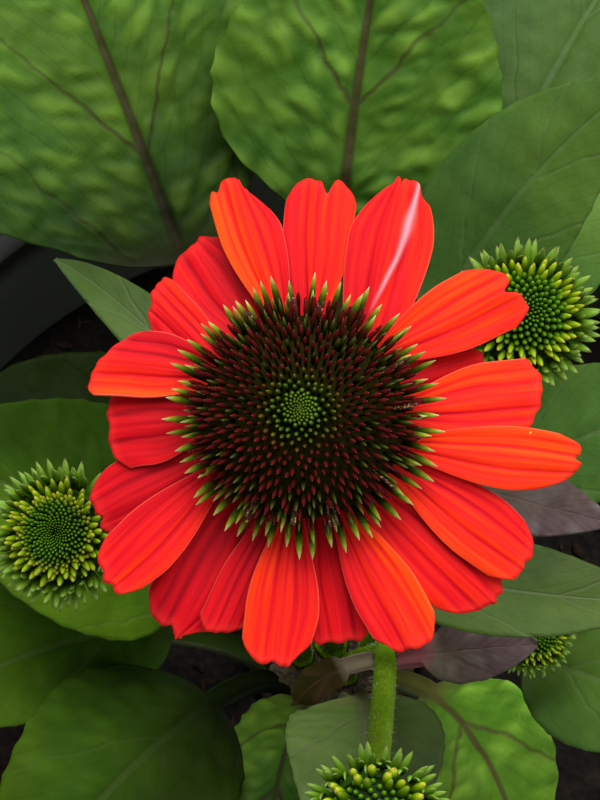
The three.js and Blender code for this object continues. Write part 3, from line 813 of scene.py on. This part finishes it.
# A point on a centripetal curve through points; each coordinate is a cubic between two of them.
def curvePoint(points, share):
    place = (len(points) - 1) * min(max(share, 0), 1)
    first = min(int(place), len(points) - 2)
    weight = place - first
    p1, p2 = points[first], points[first + 1]
    p0 = points[first - 1] if first > 0 else p1 * 2 - p2
    p3 = points[first + 2] if first + 2 < len(points) else p2 * 2 - p1
    gap0, gap1, gap2 = (max((b - a).length ** 0.5, 1e-4) for a, b in ((p0, p1), (p1, p2), (p2, p3)))
    slope1 = ((p1 - p0) / gap0 - (p2 - p0) / (gap0 + gap1) + (p2 - p1) / gap1) * gap1
    slope2 = ((p2 - p1) / gap1 - (p3 - p1) / (gap1 + gap2) + (p3 - p2) / gap2) * gap1
    square, cube = weight ** 2, weight ** 3
    return (
        p1 * (2 * cube - 3 * square + 1) + slope1 * (cube - 2 * square + weight)
        + p2 * (3 * square - 2 * cube) + slope2 * (cube - square)
    )


stemLines = {}
hairRod = rodTemplate(3, 1)
for name, seat, bends, place, axis, drop, radius in stems["routes"]:
    axis = Vector(axis).normalized()
    end = Vector(place) - axis * drop
    points = [Vector((*seat, stems["top"])), Vector((*seat, stems["collar"]))]
    points += [Vector(bend) for bend in bends] + [end - axis * stems["neck"], end]
    stemLines[name] = points
    bm = fresh(unitRod(stems["sides"], stems["rings"]))
    addLayers(bm, "hair")
    frames = []  # middle of each ring and two directions across it
    for ring in range(stems["rings"] + 1):
        share = ring / stems["rings"]
        ahead = (curvePoint(points, min(1, share + 0.01)) - curvePoint(points, max(0, share - 0.01))).normalized()
        side = ahead.cross(Vector((0, 1, 0))).normalized()
        frames.append((curvePoint(points, share), side, side.cross(ahead)))
    for vert in bm.verts:
        ring = round((vert.co.z + 0.5) * stems["rings"])
        turn = math.atan2(vert.co.y, vert.co.x)
        share = ring / stems["rings"]
        spot, side, front = frames[ring]
        foot, neck = stems["footFlare"], stems["neckFlare"]
        flare = 1 + foot[0] * max(0, 1 - share / foot[1]) ** 2 + neck[0] * max(0, (share - 1 + neck[1]) / neck[1]) ** 2
        ribbing = 1 + stems["ribDepth"] * math.cos(stems["ribs"] * turn + 3 * share)
        wide = radius * (stems["wide"] - stems["taper"] * share) * flare * ribbing
        vert.co = spot + side * (math.cos(turn) * wide) + front * (math.sin(turn) * wide)
    random.seed(len(name))
    for _ in range(stems["hairs"]):
        ring = random.randrange(3, stems["rings"] - 1)
        turn = random.uniform(0, fullTurn)
        spot, side, front = frames[ring]
        spot = spot.lerp(frames[ring + 1][0], random.random())
        out = side * math.cos(turn) + front * math.sin(turn)
        base = spot + out * (radius * 0.8)
        tip = spot + out * (radius + random.uniform(*stems["hairLengths"])) + upBy(random.uniform(0, 0.5))
        values = {"hair": stems["hairPaleness"]}
        addRod(bm, hairRod, base, tip, stems["hairWidth"], ((0, 1), (1, 0.15)), values=values)
    newPiece(camel(name), bm, [stemGreen], [name])
print("stems built")

leafMap = {"size": 200.0, "across": 0.5, "along": 0.4}  # mm per unit of a leaf's own map, and its origin
# the dark colour of a look is used for random patches and for painted shade in the creases between puckers
leafLooks = {  # blade, its dark areas, veins, their strength, stalk, then roughness and specular
    "bright": ((0.108, 0.212, 0.022), (0.024, 0.078, 0.006), (0.04, 0.024, 0.012), 0.85, (0.05, 0.05, 0.012),
               0.6, 0.08),
    # shadowed: a darker copy of the leaf green and stalk, painted shade for leaves deep in the plant
    "deep": ((0.043, 0.102, 0.005), (0.016, 0.052, 0.002), (0.06, 0.1, 0.02), 0.5, (0.024, 0.045, 0.006), 0.6, 0.04),
    "bluish": ((0.052, 0.116, 0.02), (0.026, 0.07, 0.008), (0.075, 0.125, 0.035), 0.45, (0.06, 0.1, 0.03)),
    "greyish": ((0.075, 0.115, 0.035), (0.04, 0.07, 0.016), (0.09, 0.08, 0.05), 0.5, (0.08, 0.09, 0.03)),
    "pale": ((0.09, 0.15, 0.026), (0.045, 0.1, 0.014), (0.15, 0.2, 0.08), 0.5, (0.1, 0.16, 0.04)),
    "bronze": ((0.13, 0.1, 0.1), (0.055, 0.03, 0.03), (0.11, 0.075, 0.055), 0.4, (0.17, 0.05, 0.055)),
    "withered": ((0.06, 0.022, 0.016), (0.02, 0.006, 0.004), (0.1, 0.05, 0.03), 0.4, (0.26, 0.2, 0.13), 0.8, 0.03),
    "underside": ((0.1, 0.15, 0.055), (0.065, 0.105, 0.035), (0.14, 0.18, 0.09), 0.7, (0.08, 0.1, 0.045), 0.65),
}


def leafFinish(name, blade, bladeDark, vein, veinShare, stalk, gloss=0.55, specular=0.15):
    material, tree, shader = finish(name, gloss, specular)
    x, y, _ = separate(output(tree, "ShaderNodeUVMap", uv_map="leafMap"))
    lines = {"Across": (x - leafMap["across"]) * leafMap["size"], "Along": (y - leafMap["along"]) * leafMap["size"]}
    for label, key in (("Spacing", "spacing"), ("Slope", "slope"), ("Rib", "ribHalf")):
        lines[label] = attribute(tree, key)
    veins, minor = useGroup(tree, veinage, lines)
    onBlade = attribute(tree, "onBlade")
    spot = objectPlace(tree)
    tone, fine = mottled(tree, 34.0, 0.45)
    # paler in random patches and on the puckers, darker in the creases between them: painted light and shade following
    # the puckered relief
    toneAndPuckerShading = stepUp(noiseValue(spot, 95.0, 2.0, 0.5), 0.3, 0.7) * 0.3 + attribute(tree, "pucker") * 0.75
    colour = mixColour((toneAndPuckerShading - minor * 0.1).limited(), bladeDark, blade)
    warmer = stepUp(noiseValue(spot, 22.0, 2.0), 0.4, 0.65) * 0.35
    colour = mixColour(warmer, colour, mixColour(0.5, colour, (0.12, 0.17, 0.005)))
    colour = mixColour(veins * veinShare, colour, vein)
    colour = mixColour(onBlade, stalk, colour)
    relief = (veins * -0.7 - minor * 0.1) * onBlade + fine * 0.9 + noiseValue(spot, 900.0, 3.0, 0.6) * 0.2
    paint(shader, shade(colour, tone * attribute(tree, "lit")), relief, 0.0005, 0.6)
    return material


leafMaterials = {look: leafFinish("leaf" + look.capitalize(), *values) for look, values in leafLooks.items()}

leaves = {
    "top": 190.3, "ring": 17, "pieces": 60, "stalkWidth": 4.4, "stalkThickness": 3.0, "thickness": 0.5, "fold": 0.12,
    "tipWidth": 0.84, "widestAt": 0.4, "stalkRow": 4, "row": 1.05, "tooth": (4.5, 0.03), "puckerSize": (5.6, 0.025),
    "rib": 0.55, "ribHalf": (1.7, 0.6), "shadeLength": 0.34, "witheredWidth": 0.66, "fullWidth": 50,
    # share by which the foot of a blade is narrower, on either side, and how far up
    "foot": {"back": (0.62, 0.1), "back_left": (0.0, 0.25)}, "footSpread": 0.2,
    # share by which a blade is wider on either side, place along it and spread
    "swells": {"back_left": ((0.3, 0.29, 0.12), (0.06, 0.6, 0.12)), "back": ((0, 0, 1), (0.08, 0.73, 0.1))},
    "noSwell": ((0, 0, 1), (0, 0, 1)),
    # name, seat azimuth, headings, climbs, lengths of stalk and blade, width, then the look: finish, teeth,
    # waves, puffs, spacing of the strong veins, their slope, the place of their first fork, brightness, shade
    # at the foot of the blade and on one side of it, mesh fineness
    "basal": (
        ("back_left", 122, (115, 112), (60, 8), 96, 94, 71, "bright", 1.8, 1.3, 1.0, 42, 1.75, 25, 0.86, 0.75, 0, 0.85),
        ("back", 100, (89, 78), (62, 20), 94, 88, 69, "bright", 1.2, 1.5, 1.1, 50, 1.35, 33, 1.02, 0.35, 0, 0.85),
        ("back_right", 80, (68, 57), (60, 5), 110, 72, 52, "bluish", 0.8, 1.0, 0.45, 34, 1.9, 14, 0.95, 0.2, 0, 1.5),
        ("right_high", 60, (87, 27), (86, 30), 104, 77, 36, "bluish", 0.5, 0.8, 0.3, 30, 2.1, 12, 1.05, 0.1, 0, 1.5),
        ("right_back", 40, (86, 26), (82, -1), 90, 69, 34, "bluish", 0.5, 0.8, 0.3, 30, 2.1, 12, 1.75, 0.1, 0, 1.5),
        ("right", 16, (48, -5), (86, 23), 60, 74, 36, "bluish", 0.5, 0.8, 0.3, 30, 2.1, 12, 1.3, 0.1, 0, 1.5),
        ("right_front", -22, (-38, -31), (86, 12), 84, 60, 34, "bluish", 0.6, 1.0, 0.35, 28, 1.8, 10, 1.1, 0.1, 0, 1.5),
        ("front_right", -46, (-32, -80), (84, -11), 38, 56, 32, "bright", 0.9, 2.4, 1.1, 30, 1.6, 14, 3.3, 0.1, 0.5, 1),
        ("front", -78, (-68, -109), (86, 23), 42, 82, 36, "greyish", 0.5, 0.8, 0.3, 34, 2.1, 14, 2.1, 0.1, -0.62, 1.5),
        ("front_low", -103, (-117, -93), (84, -4), 21, 62, 26, "bright", 1.0, 1.2, 0.8, 26, 1.5, 12, 0.85, 0.2, 0, 0.9),
        ("front_left", -138, (-137, -128), (82, -28), 48, 76, 50,
         "deep", 1.0, 1.2, 0.6, 34, 1.7, 16, 1.1, 0.8, -0.5, 1.3),
        ("left_high", 180, (180, 163), (86, 16), 56, 81, 54, "deep", 0.6, 1.0, 0.45, 34, 1.9, 16, 1.3, 0.2, 0.6, 1.3),
        ("left_low", -158, (-185, -142), (72, -24), 42, 76, 36, "deep", 0.8, 1.0, 0.5, 32, 1.8, 14, 1.35, 0.3, 0, 1.5),
        ("left_back", 150, (129, 189), (86, 0), 52, 72, 44, "deep", 0.8, 1.0, 0.5, 34, 1.8, 14, 0.45, 0.1, 0.75, 1.5),
    ),
    # name, stem, stem radius, height, headings and the same further values
    "onStems": (
        ("stem_left", "flower_stem", 3.4, 332, (133, 134), (60, -40), 10, 81, 14,
         "pale", 0.1, 0.3, 0.15, 40, 3.4, 8, 0.66, 0.1, 0.2, 1.0),
        ("stem_right", "flower_stem", 3.4, 335, (-28, 1), (26, -4), 10, 60, 21,
         "pale", 0.2, 0.5, 0.2, 30, 2.8, 8, 0.76, 0.1, -0.25, 1.0),
        ("bronze_back", "bud_stem_back_right", 2.6, 300, (-39, -20), (36, 24), 6, 38, 17,
         "bronze", 0.5, 2.5, 0.8, 20, 2.2, 5, 1.1, 0.1, 0, 0.8),
        ("bronze_right", "bud_stem_front", 2.6, 300, (-8, 7), (48, -8), 8, 25, 15,
         "bronze", 0.5, 3.5, 0.9, 16, 1.8, 4, 1.25, 0.1, 0, 0.7),
        ("bronze_left", "bud_stem_front", 2.6, 298, (200, 216), (50, -64), 8.5, 17, 12,
         "withered", 0.6, 9, 1.4, 12, 1.6, 3, 0.8, 0.1, 0, 0.5),
    ),
}


def bladeWidth(part):
    swell, taper = 1.5 * leaves["widestAt"], 1.5 * (1 - leaves["widestAt"])
    peak = leaves["widestAt"] ** swell * (1 - leaves["widestAt"]) ** taper
    return max(part, 0) ** swell * max(1 - part, 0) ** taper / peak


def hump(value, width):
    return math.exp(-((value / width) ** 2))


def buildLeaf(
    name, seat, seatClimb, heading, climb, stalk, blade, width, look, teeth, waves, puffs, spacing, slope, fork, tone,
    footShade, sideShade, fineness,
):
    length = stalk + blade
    line = [seat.copy()]  # the leaf's middle line, in short pieces
    for index in range(leaves["pieces"]):
        part = (index + 0.5) / leaves["pieces"]
        turn, rise = math.radians(blend(*heading, part)), math.radians(blend(*climb, part))
        step = Vector((math.cos(rise) * math.cos(turn), math.cos(rise) * math.sin(turn), math.sin(rise)))
        line.append(line[-1] + step * (length / leaves["pieces"]))
    stalkRows = max(6, round(stalk / leaves["stalkRow"]))
    bladeRows = max(16, round(blade / fineness / leaves["row"]))
    rows = stalkRows + bladeRows
    bm = gridSheet(max(12, round(width / fineness / 2) * 2), rows)
    uvLayer = bm.loops.layers.uv.new("leafMap")
    layers = addLayers(bm, "onBlade", "spacing", "slope", "ribHalf", "lit", "pucker")
    bm.verts.index_update()
    weights, places = [], {}
    seed = sum(ord(letter) for letter in name)
    slim = min(leaves["stalkWidth"], width / 4)
    stalkThick = min(leaves["stalkThickness"], width / 6) / leaves["stalkThickness"]
    thin = leaves["thickness"] / leaves["stalkThickness"]
    size = min(1, width / leaves["fullWidth"])
    cell = leaves["puckerSize"][0] + leaves["puckerSize"][1] * width
    toothGap = leaves["tooth"][0] + leaves["tooth"][1] * width
    for vert in bm.verts:
        u = 2 * vert.co.x  # across the leaf from -1 to 1; t runs along its blade from 0 to 1
        row = round((vert.co.y + 0.5) * rows)
        t = max(0.0, (row - stalkRows) / bladeRows)
        reach = stalk + blade * t if t > 0 else stalk * row / stalkRows
        part = reach / length
        turn = math.radians(blend(*heading, part))
        rise = math.radians(blend(seatClimb, blend(*climb, part), min(1, row / 3)))
        side = Vector((math.sin(turn), -math.cos(turn), 0))
        up = Vector((-math.cos(turn) * math.sin(rise), -math.sin(turn) * math.sin(rise), math.cos(rise)))
        # half-width, with teeth and a ragged edge
        half = max(blend(slim, leaves["tipWidth"], t), width * bladeWidth(t)) / 2
        half *= 1 - leaves["foot"].get(name, (0, 0))[u > 0] * bell(t, 0, leaves["footSpread"]) * min(1, 12 * t)
        swell, swellPlace, swellSpread = leaves["swells"].get(name, leaves["noSwell"])[u > 0]
        half *= 1 + swell * bell(t, swellPlace, swellSpread)
        edge = abs(u) ** 3
        bite = abs(math.sin(math.pi * reach / toothGap + (2 if u > 0 else 0)))
        half += edge * (0.6 - bite) * teeth * 0.6 * min(1, 4 * t) * min(1, 6 * (1 - t))
        half += edge * wobble(1, reach * 0.06, seed, u) * teeth * 0.9 * min(1, 3 * t)
        if look == "withered":
            half *= blend(1, leaves["witheredWidth"], min(1, 4 * t))
        across = u * half
        # height over the leaf's plane: fold, puckers between the veins, crinkles, waves of the edge, midrib
        near = noise.voronoi(Vector((across / (1.45 * cell), (reach - 0.5 * abs(across)) / (0.85 * cell), seed)))[0]
        pucker = min(1, (near[1] - near[0]) / 0.6) * (1 - hump(across, 2.0))
        pucker *= pucker * (3 - 2 * pucker)
        onBlade = min(1, 8 * t)
        wave = math.sin(reach / 13.0 + seed + (1.3 if u > 0 else 0)) * waves * u * u
        crinkle = wobble(1, across * 0.11, reach * 0.11, seed) + wobble(0.45, across * 0.27, reach * 0.27, seed + 9)
        height = leaves["fold"] * abs(across)
        height += onBlade * (1.0 * puffs * (pucker - 0.4) + 1.2 * puffs * crinkle + 0.8 * size * wave)
        height -= onBlade * 0.5 * hump(across, 1.4) * size
        height += (1 - onBlade) * 0.25 * slim * u * u
        at = part * leaves["pieces"]
        low = min(int(at), leaves["pieces"] - 1)
        vert.co = line[low].lerp(line[low + 1], at - low) + side * across + up * height
        # thickness: a round stalk that runs out in the midrib
        rounded = math.sqrt(max(0.0, 1 - min(1.0, abs(u)) ** 2))
        rib = hump(across, 0.9 + 1.2 * (1 - t)) * (1 - t) * leaves["rib"] * stalkThick
        weights.append((vert.index, blend(max(0.12, rounded) * stalkThick, max(thin, rib), onBlade)))
        places[vert.index] = (
            across / leafMap["size"] + leafMap["across"], (reach - stalk - fork) / leafMap["size"] + leafMap["along"],
        )
        shaded = abs(sideShade) * min(1, max(0, 0.5 + 1.2 * u * math.copysign(1, sideShade)))
        vert[layers["onBlade"]] = onBlade
        vert[layers["pucker"]] = blend(0.6, pucker, min(1, puffs))
        vert[layers["spacing"]] = spacing
        vert[layers["slope"]] = slope
        vert[layers["lit"]] = tone * (1 - footShade * hump(t, leaves["shadeLength"])) * (1 - shaded)
        vert[layers["ribHalf"]] = blend(*leaves["ribHalf"], t) * max(0.3, size)
    for face in bm.faces:
        for loop in face.loops:
            loop[uvLayer].uv = places[loop.vert.index]
    underside = look if look in ("bronze", "withered") else "underside"
    materials = [leafMaterials[look], leafMaterials[underside]]
    piece = newPiece(camel("leaf", name), bm, materials, ["leaf_" + name])
    group = piece.vertex_groups.new(name="thick")
    for index, weight in weights:
        group.add([index], min(1.0, weight), "REPLACE")
    thicken(piece, leaves["stalkThickness"], "thick")


for name, seat, heading, climb, *rest in leaves["basal"]:
    place = around(math.radians(seat), leaves["ring"], leaves["top"])
    buildLeaf(name, place, 90, heading, climb, *rest)
for name, stem, radius, height, heading, climb, *rest in leaves["onStems"]:
    low, high = 0.0, 1.0
    for _ in range(30):  # halved until it meets the height
        middle = (low + high) / 2
        low, high = (middle, high) if curvePoint(stemLines[stem], middle).z < height else (low, middle)
    place = curvePoint(stemLines[stem], low) + around(math.radians(heading[0])) * (radius * 0.8)
    buildLeaf(name, place, 0, heading, climb, *rest)
print("leaves built")

# The woody crown, with stubs of old stems on its top.
crownBrown, tree, shader = finish("crownBrown", 0.8, 0.25)
fibre = noiseValue(stretch(objectPlace(tree), 900.0, 900.0, 120.0), 1.0)
colour = ramp(fibre, ((0.3, (0.012, 0.008, 0.004)), (0.5, (0.04, 0.026, 0.012)), (0.7, (0.09, 0.075, 0.03))))
paint(shader, colour, fibre, 0.0006)

crown = {
    "outline": (
        (0, 150.5), (8.7, 150.5), (16.2, 170), (21.4, 184), (21.4, 187), (19.5, 189.2), (10, 189.7), (0, 189.6),
    ),
    "roughFrom": 160, "dents": 1.4,
    "stubs": 26, "stubRing": 20.5, "stubHeights": (184, 188.4), "stubWidths": (1.0, 1.7),
}
bm = lathe(crown["outline"], 48)
longEdges = [edge for edge in bm.edges if edge.calc_length() > 4]
bmesh.ops.subdivide_edges(bm, edges=longEdges, cuts=2, use_grid_fill=True)
bm = fresh(bm)
for vert in bm.verts:
    if vert.co.z > crown["roughFrom"]:
        rough = noise.noise(vert.co * 0.35) * 0.5
        vert.co.x *= 1 + rough * 0.02
        vert.co.y *= 1 + rough * 0.02
        vert.co.z -= abs(noise.noise(vert.co * 0.22)) * crown["dents"]
random.seed(21)
for index in range(crown["stubs"]):
    turn = index * goldenTurn
    radius = crown["stubRing"] * math.sqrt((index + 0.5) / crown["stubs"])
    low, high = crown["stubHeights"]
    base, tip = around(turn, radius * 0.9, low), around(turn, radius, high + random.uniform(0, 1.2))
    width = random.uniform(*crown["stubWidths"])
    addRod(bm, spineRod, base, tip, width, ((0, 1.2), (0.6, 1), (1, 0.55)), flatness=0.7)
newPiece("crownWood", bm, [crownBrown], ["crown"])

pot = {
    "height": 225, "base": 92, "shoulder": 123, "rim": 129, "wall": 1.8, "floor": 3, "skirt": 15, "lip": 1.6,
    "sides": 120, "holes": 8, "holeRadius": 6, "holeRing": 74, "groove": 0.5, "sharpAngle": 32,
    "shades": ((0.01, 0.011, 0.009), (0.018, 0.0195, 0.0165)), "grime": (0.07, 0.052, 0.036),
    "film": (0.084, 0.092, 0.074),
    "innerWallLightHeights": (0.17, 0.18, 0.214, 0.223),  # metres: where it begins and ends
}
potSlope = (pot["shoulder"] - pot["base"]) / pot["height"]


def potInside(height):
    return pot["base"] - pot["wall"] + potSlope * height


def potOutside(height, proud=0.0):
    return potInside(height) + pot["wall"] + proud


# The mix: a low mound of grains round the crown, with loose chips of bark.
mixBrown, tree, shader = finish("mixBrown", 0.92, 0.2)
spot = objectPlace(tree)
lump = noiseValue(spot, 160.0, 5.0, 0.7)
# The peat is near-black: its own dark colour, darkened further as painted shade down in the pot.
peat = ramp(lump, ((0.3, (0.003, 0.0025, 0.002)), (0.52, (0.009, 0.0065, 0.0045)), (0.75, (0.024, 0.015, 0.009))))
bark = ramp(lump, ((0.3, (0.012, 0.006, 0.004)), (0.6, (0.045, 0.022, 0.012)), (0.8, (0.08, 0.05, 0.03))))
paint(shader, mixColour(attribute(tree, "chip"), peat, bark), cells(spot, 420.0) + lump, 0.0012)

mix = {
    "height": 185, "mound": 1.2, "gap": 0.5, "sides": 96, "collar": 23,
    "rings": (110, 104, 97, 89, 80, 70, 60, 50, 40, 31, 23.4),
    "socket": ((22.6, 183), (16.9, 169.6), (9.4, 149.7), (0, 149.7)),
    "swells": ((1.1, 0.09), (0.9, 0.31)),  # height and frequency
    "chips": 620, "chipRings": (24, 111), "chipLengths": (1.6, 6.5), "chipWidths": (0.5, 1.7),
}
inside = potInside(mix["height"]) - mix["gap"]
outline = [(0, 3.4), (potInside(3) - 1.6, 3.4), (potInside(12) - 0.7, 12), (inside, mix["height"] - 1)]
outline += [(ring, mix["height"] + mix["mound"] * (1 - (ring / inside) ** 2)) for ring in mix["rings"]]
bm = lathe([*outline, *mix["socket"]], mix["sides"])
addLayers(bm, "chip")
for vert in bm.verts:
    if vert.co.z > mix["height"] - 0.8 and math.hypot(vert.co.x, vert.co.y) > mix["collar"]:
        vert.co.z += sum(high * noise.noise(vert.co * often) for high, often in mix["swells"])
random.seed(31)
chipRod = rodTemplate(5, 2)
for _ in range(mix["chips"]):
    radius = math.sqrt(random.uniform(*(ring ** 2 for ring in mix["chipRings"])))
    turn, lean = random.uniform(0, fullTurn), random.uniform(0, fullTurn)
    long = random.uniform(*mix["chipLengths"])
    centre = around(turn, radius, mix["height"] + random.uniform(0.2, 1.6))
    way = around(lean, 1, jitter(0.15)) * long / 2
    ends = [math.hypot(*end.xy) for end in (centre + way, centre - way)]
    if max(ends) > inside - 1.5 or max(ends) < mix["collar"]:
        continue
    width, flatness = random.uniform(*mix["chipWidths"]), random.uniform(0.3, 0.7)
    values = {"chip": random.uniform(0.2, 1)}
    profile = ((0, 0.5), (0.5, 1), (1, 0.4))
    addRod(bm, chipRod, centre - way, centre + way, width, profile, flatness=flatness, values=values)
newPiece("pottingMix", bm, [mixBrown], ["potting_mix"])

# The pot: streaky black, grimy low down, with painted light, a lighter grey, on the inner wall above the mix.
potBlack, tree, shader = finish("potBlack", 0.5, 0.14)
spot = objectPlace(tree)
grain = noiseValue(spot, 900.0, 3.0)
colour = mixColour(stepUp(noiseValue(stretch(spot, 60.0, 60.0, 9.0), 1.0, 4.0), 0.35, 0.75), *pot["shades"])
across, along, height = separate(spot)
grime = (1.0 - stepUp(height, 0.0, 0.05) + 0.25) * stepUp(noiseValue(spot, 70.0, 6.0, 0.7), 0.48, 0.72)
colour = mixColour(grime * 0.5, colour, pot["grime"])
innerWall = height * potSlope + (potInside(0) + 0.7) * mm
onWall = height.calc("LESS_THAN", (across * across + along * along) ** 0.5, innerWall)
# painted light: the inner wall above the mix made lighter grey, as if lit
innerWallLightFrom, innerWallLightFull, innerWallLightFade, innerWallLightTo = pot["innerWallLightHeights"]
film = onWall * stepUp(height, innerWallLightFrom, innerWallLightFull) * (1.0 - stepUp(height, innerWallLightFade, innerWallLightTo))
colour = mixColour(film * 0.8, colour, pot["film"])
paint(shader, colour, grain, 0.00012, 0.5, (grain + grime) * 0.18 + 0.36)

top, rim, skirt, groove = pot["height"], pot["rim"], pot["height"] - pot["skirt"], pot["groove"]
under, lip = top - 4, rim - pot["lip"]
outline = [(0, 1.2), (60, 1.2), (86, 1.2), (88.5, 0), (90.4, 0.2), (91.8, 1.4), (potOutside(4), 4)]
outline += [(potOutside(30), 30), (potOutside(31, -groove), 31), (potOutside(35, -groove), 35)]
outline += [(potOutside(height), height) for height in (36, 70, 110, 150, 186)]
outline += [(potOutside(187, -groove), 187), (potOutside(189.5, -groove), 189.5), (potOutside(190.5), 190.5)]
outline += [(potOutside(under), under), (lip, under), (lip, skirt + 0.6), (lip + 0.5, skirt), (rim - 0.5, skirt)]
outline += [(rim, skirt + 0.6), (rim, skirt + 5), (rim - 0.3, skirt + 5.6), (rim - 0.3, top - 3), (rim - 0.8, top - 1)]
outline += [(rim - 2.2, top), (potInside(top) + 1.6, top), (potInside(top) + 0.4, top - 0.4)]
outline += [(potInside(height), height) for height in (top - 1.4, 212, 211, 186, 150, 110, 70, 30, 8)]
outline += [(potInside(5) - 1, 4.2), (86, pot["floor"]), (60, pot["floor"]), (0, pot["floor"])]
shell = newPiece("nurseryPot", lathe(outline, pot["sides"]), [potBlack], ["nursery_pot"])
cutter = bmesh.new()
for index in range(pot["holes"]):
    place = Matrix.Translation(around(index * fullTurn / pot["holes"], pot["holeRing"], 2))
    radius = pot["holeRadius"]
    bmesh.ops.create_cone(cutter, cap_ends=True, segments=24, radius1=radius, radius2=radius, depth=12, matrix=place)
bmesh.ops.scale(cutter, vec=(mm, mm, mm), verts=cutter.verts)
cutterMesh = bpy.data.meshes.new("drainCutter")
cutter.to_mesh(cutterMesh)
cutter.free()
drain = bpy.data.objects.new("drainCutter", cutterMesh)
scene.collection.objects.link(drain)
holes = shell.modifiers.new("holes", "BOOLEAN")
holes.object = drain
holes.solver = "EXACT"
bpy.context.view_layer.update()
cut = bpy.data.meshes.new_from_object(shell.evaluated_get(bpy.context.evaluated_depsgraph_get()))
shell.modifiers.clear()
shell.data = cut
bpy.data.objects.remove(drain)
cut.set_sharp_from_angle(angle=math.radians(pot["sharpAngle"]))
print("pot and mix built")

# A pale floor, just under the pot.
floorPale, tree, shader = finish("floorPale", 0.75, 0.3)
speck = noiseValue(objectPlace(tree), 6.0, 4.0)
paint(shader, mixColour(speck, (0.5, 0.5, 0.49), (0.55, 0.55, 0.54)))
bm = bmesh.new()
bmesh.ops.create_grid(bm, x_segments=4, y_segments=4, size=6)
floorMesh = bpy.data.meshes.new("floor")
bm.to_mesh(floorMesh)
bm.free()
floorMesh.materials.append(floorPale)
ground = bpy.data.objects.new("floor", floorMesh)
ground.location = (0, 0, -0.0005)
scene.collection.objects.link(ground)

print("scene finished")
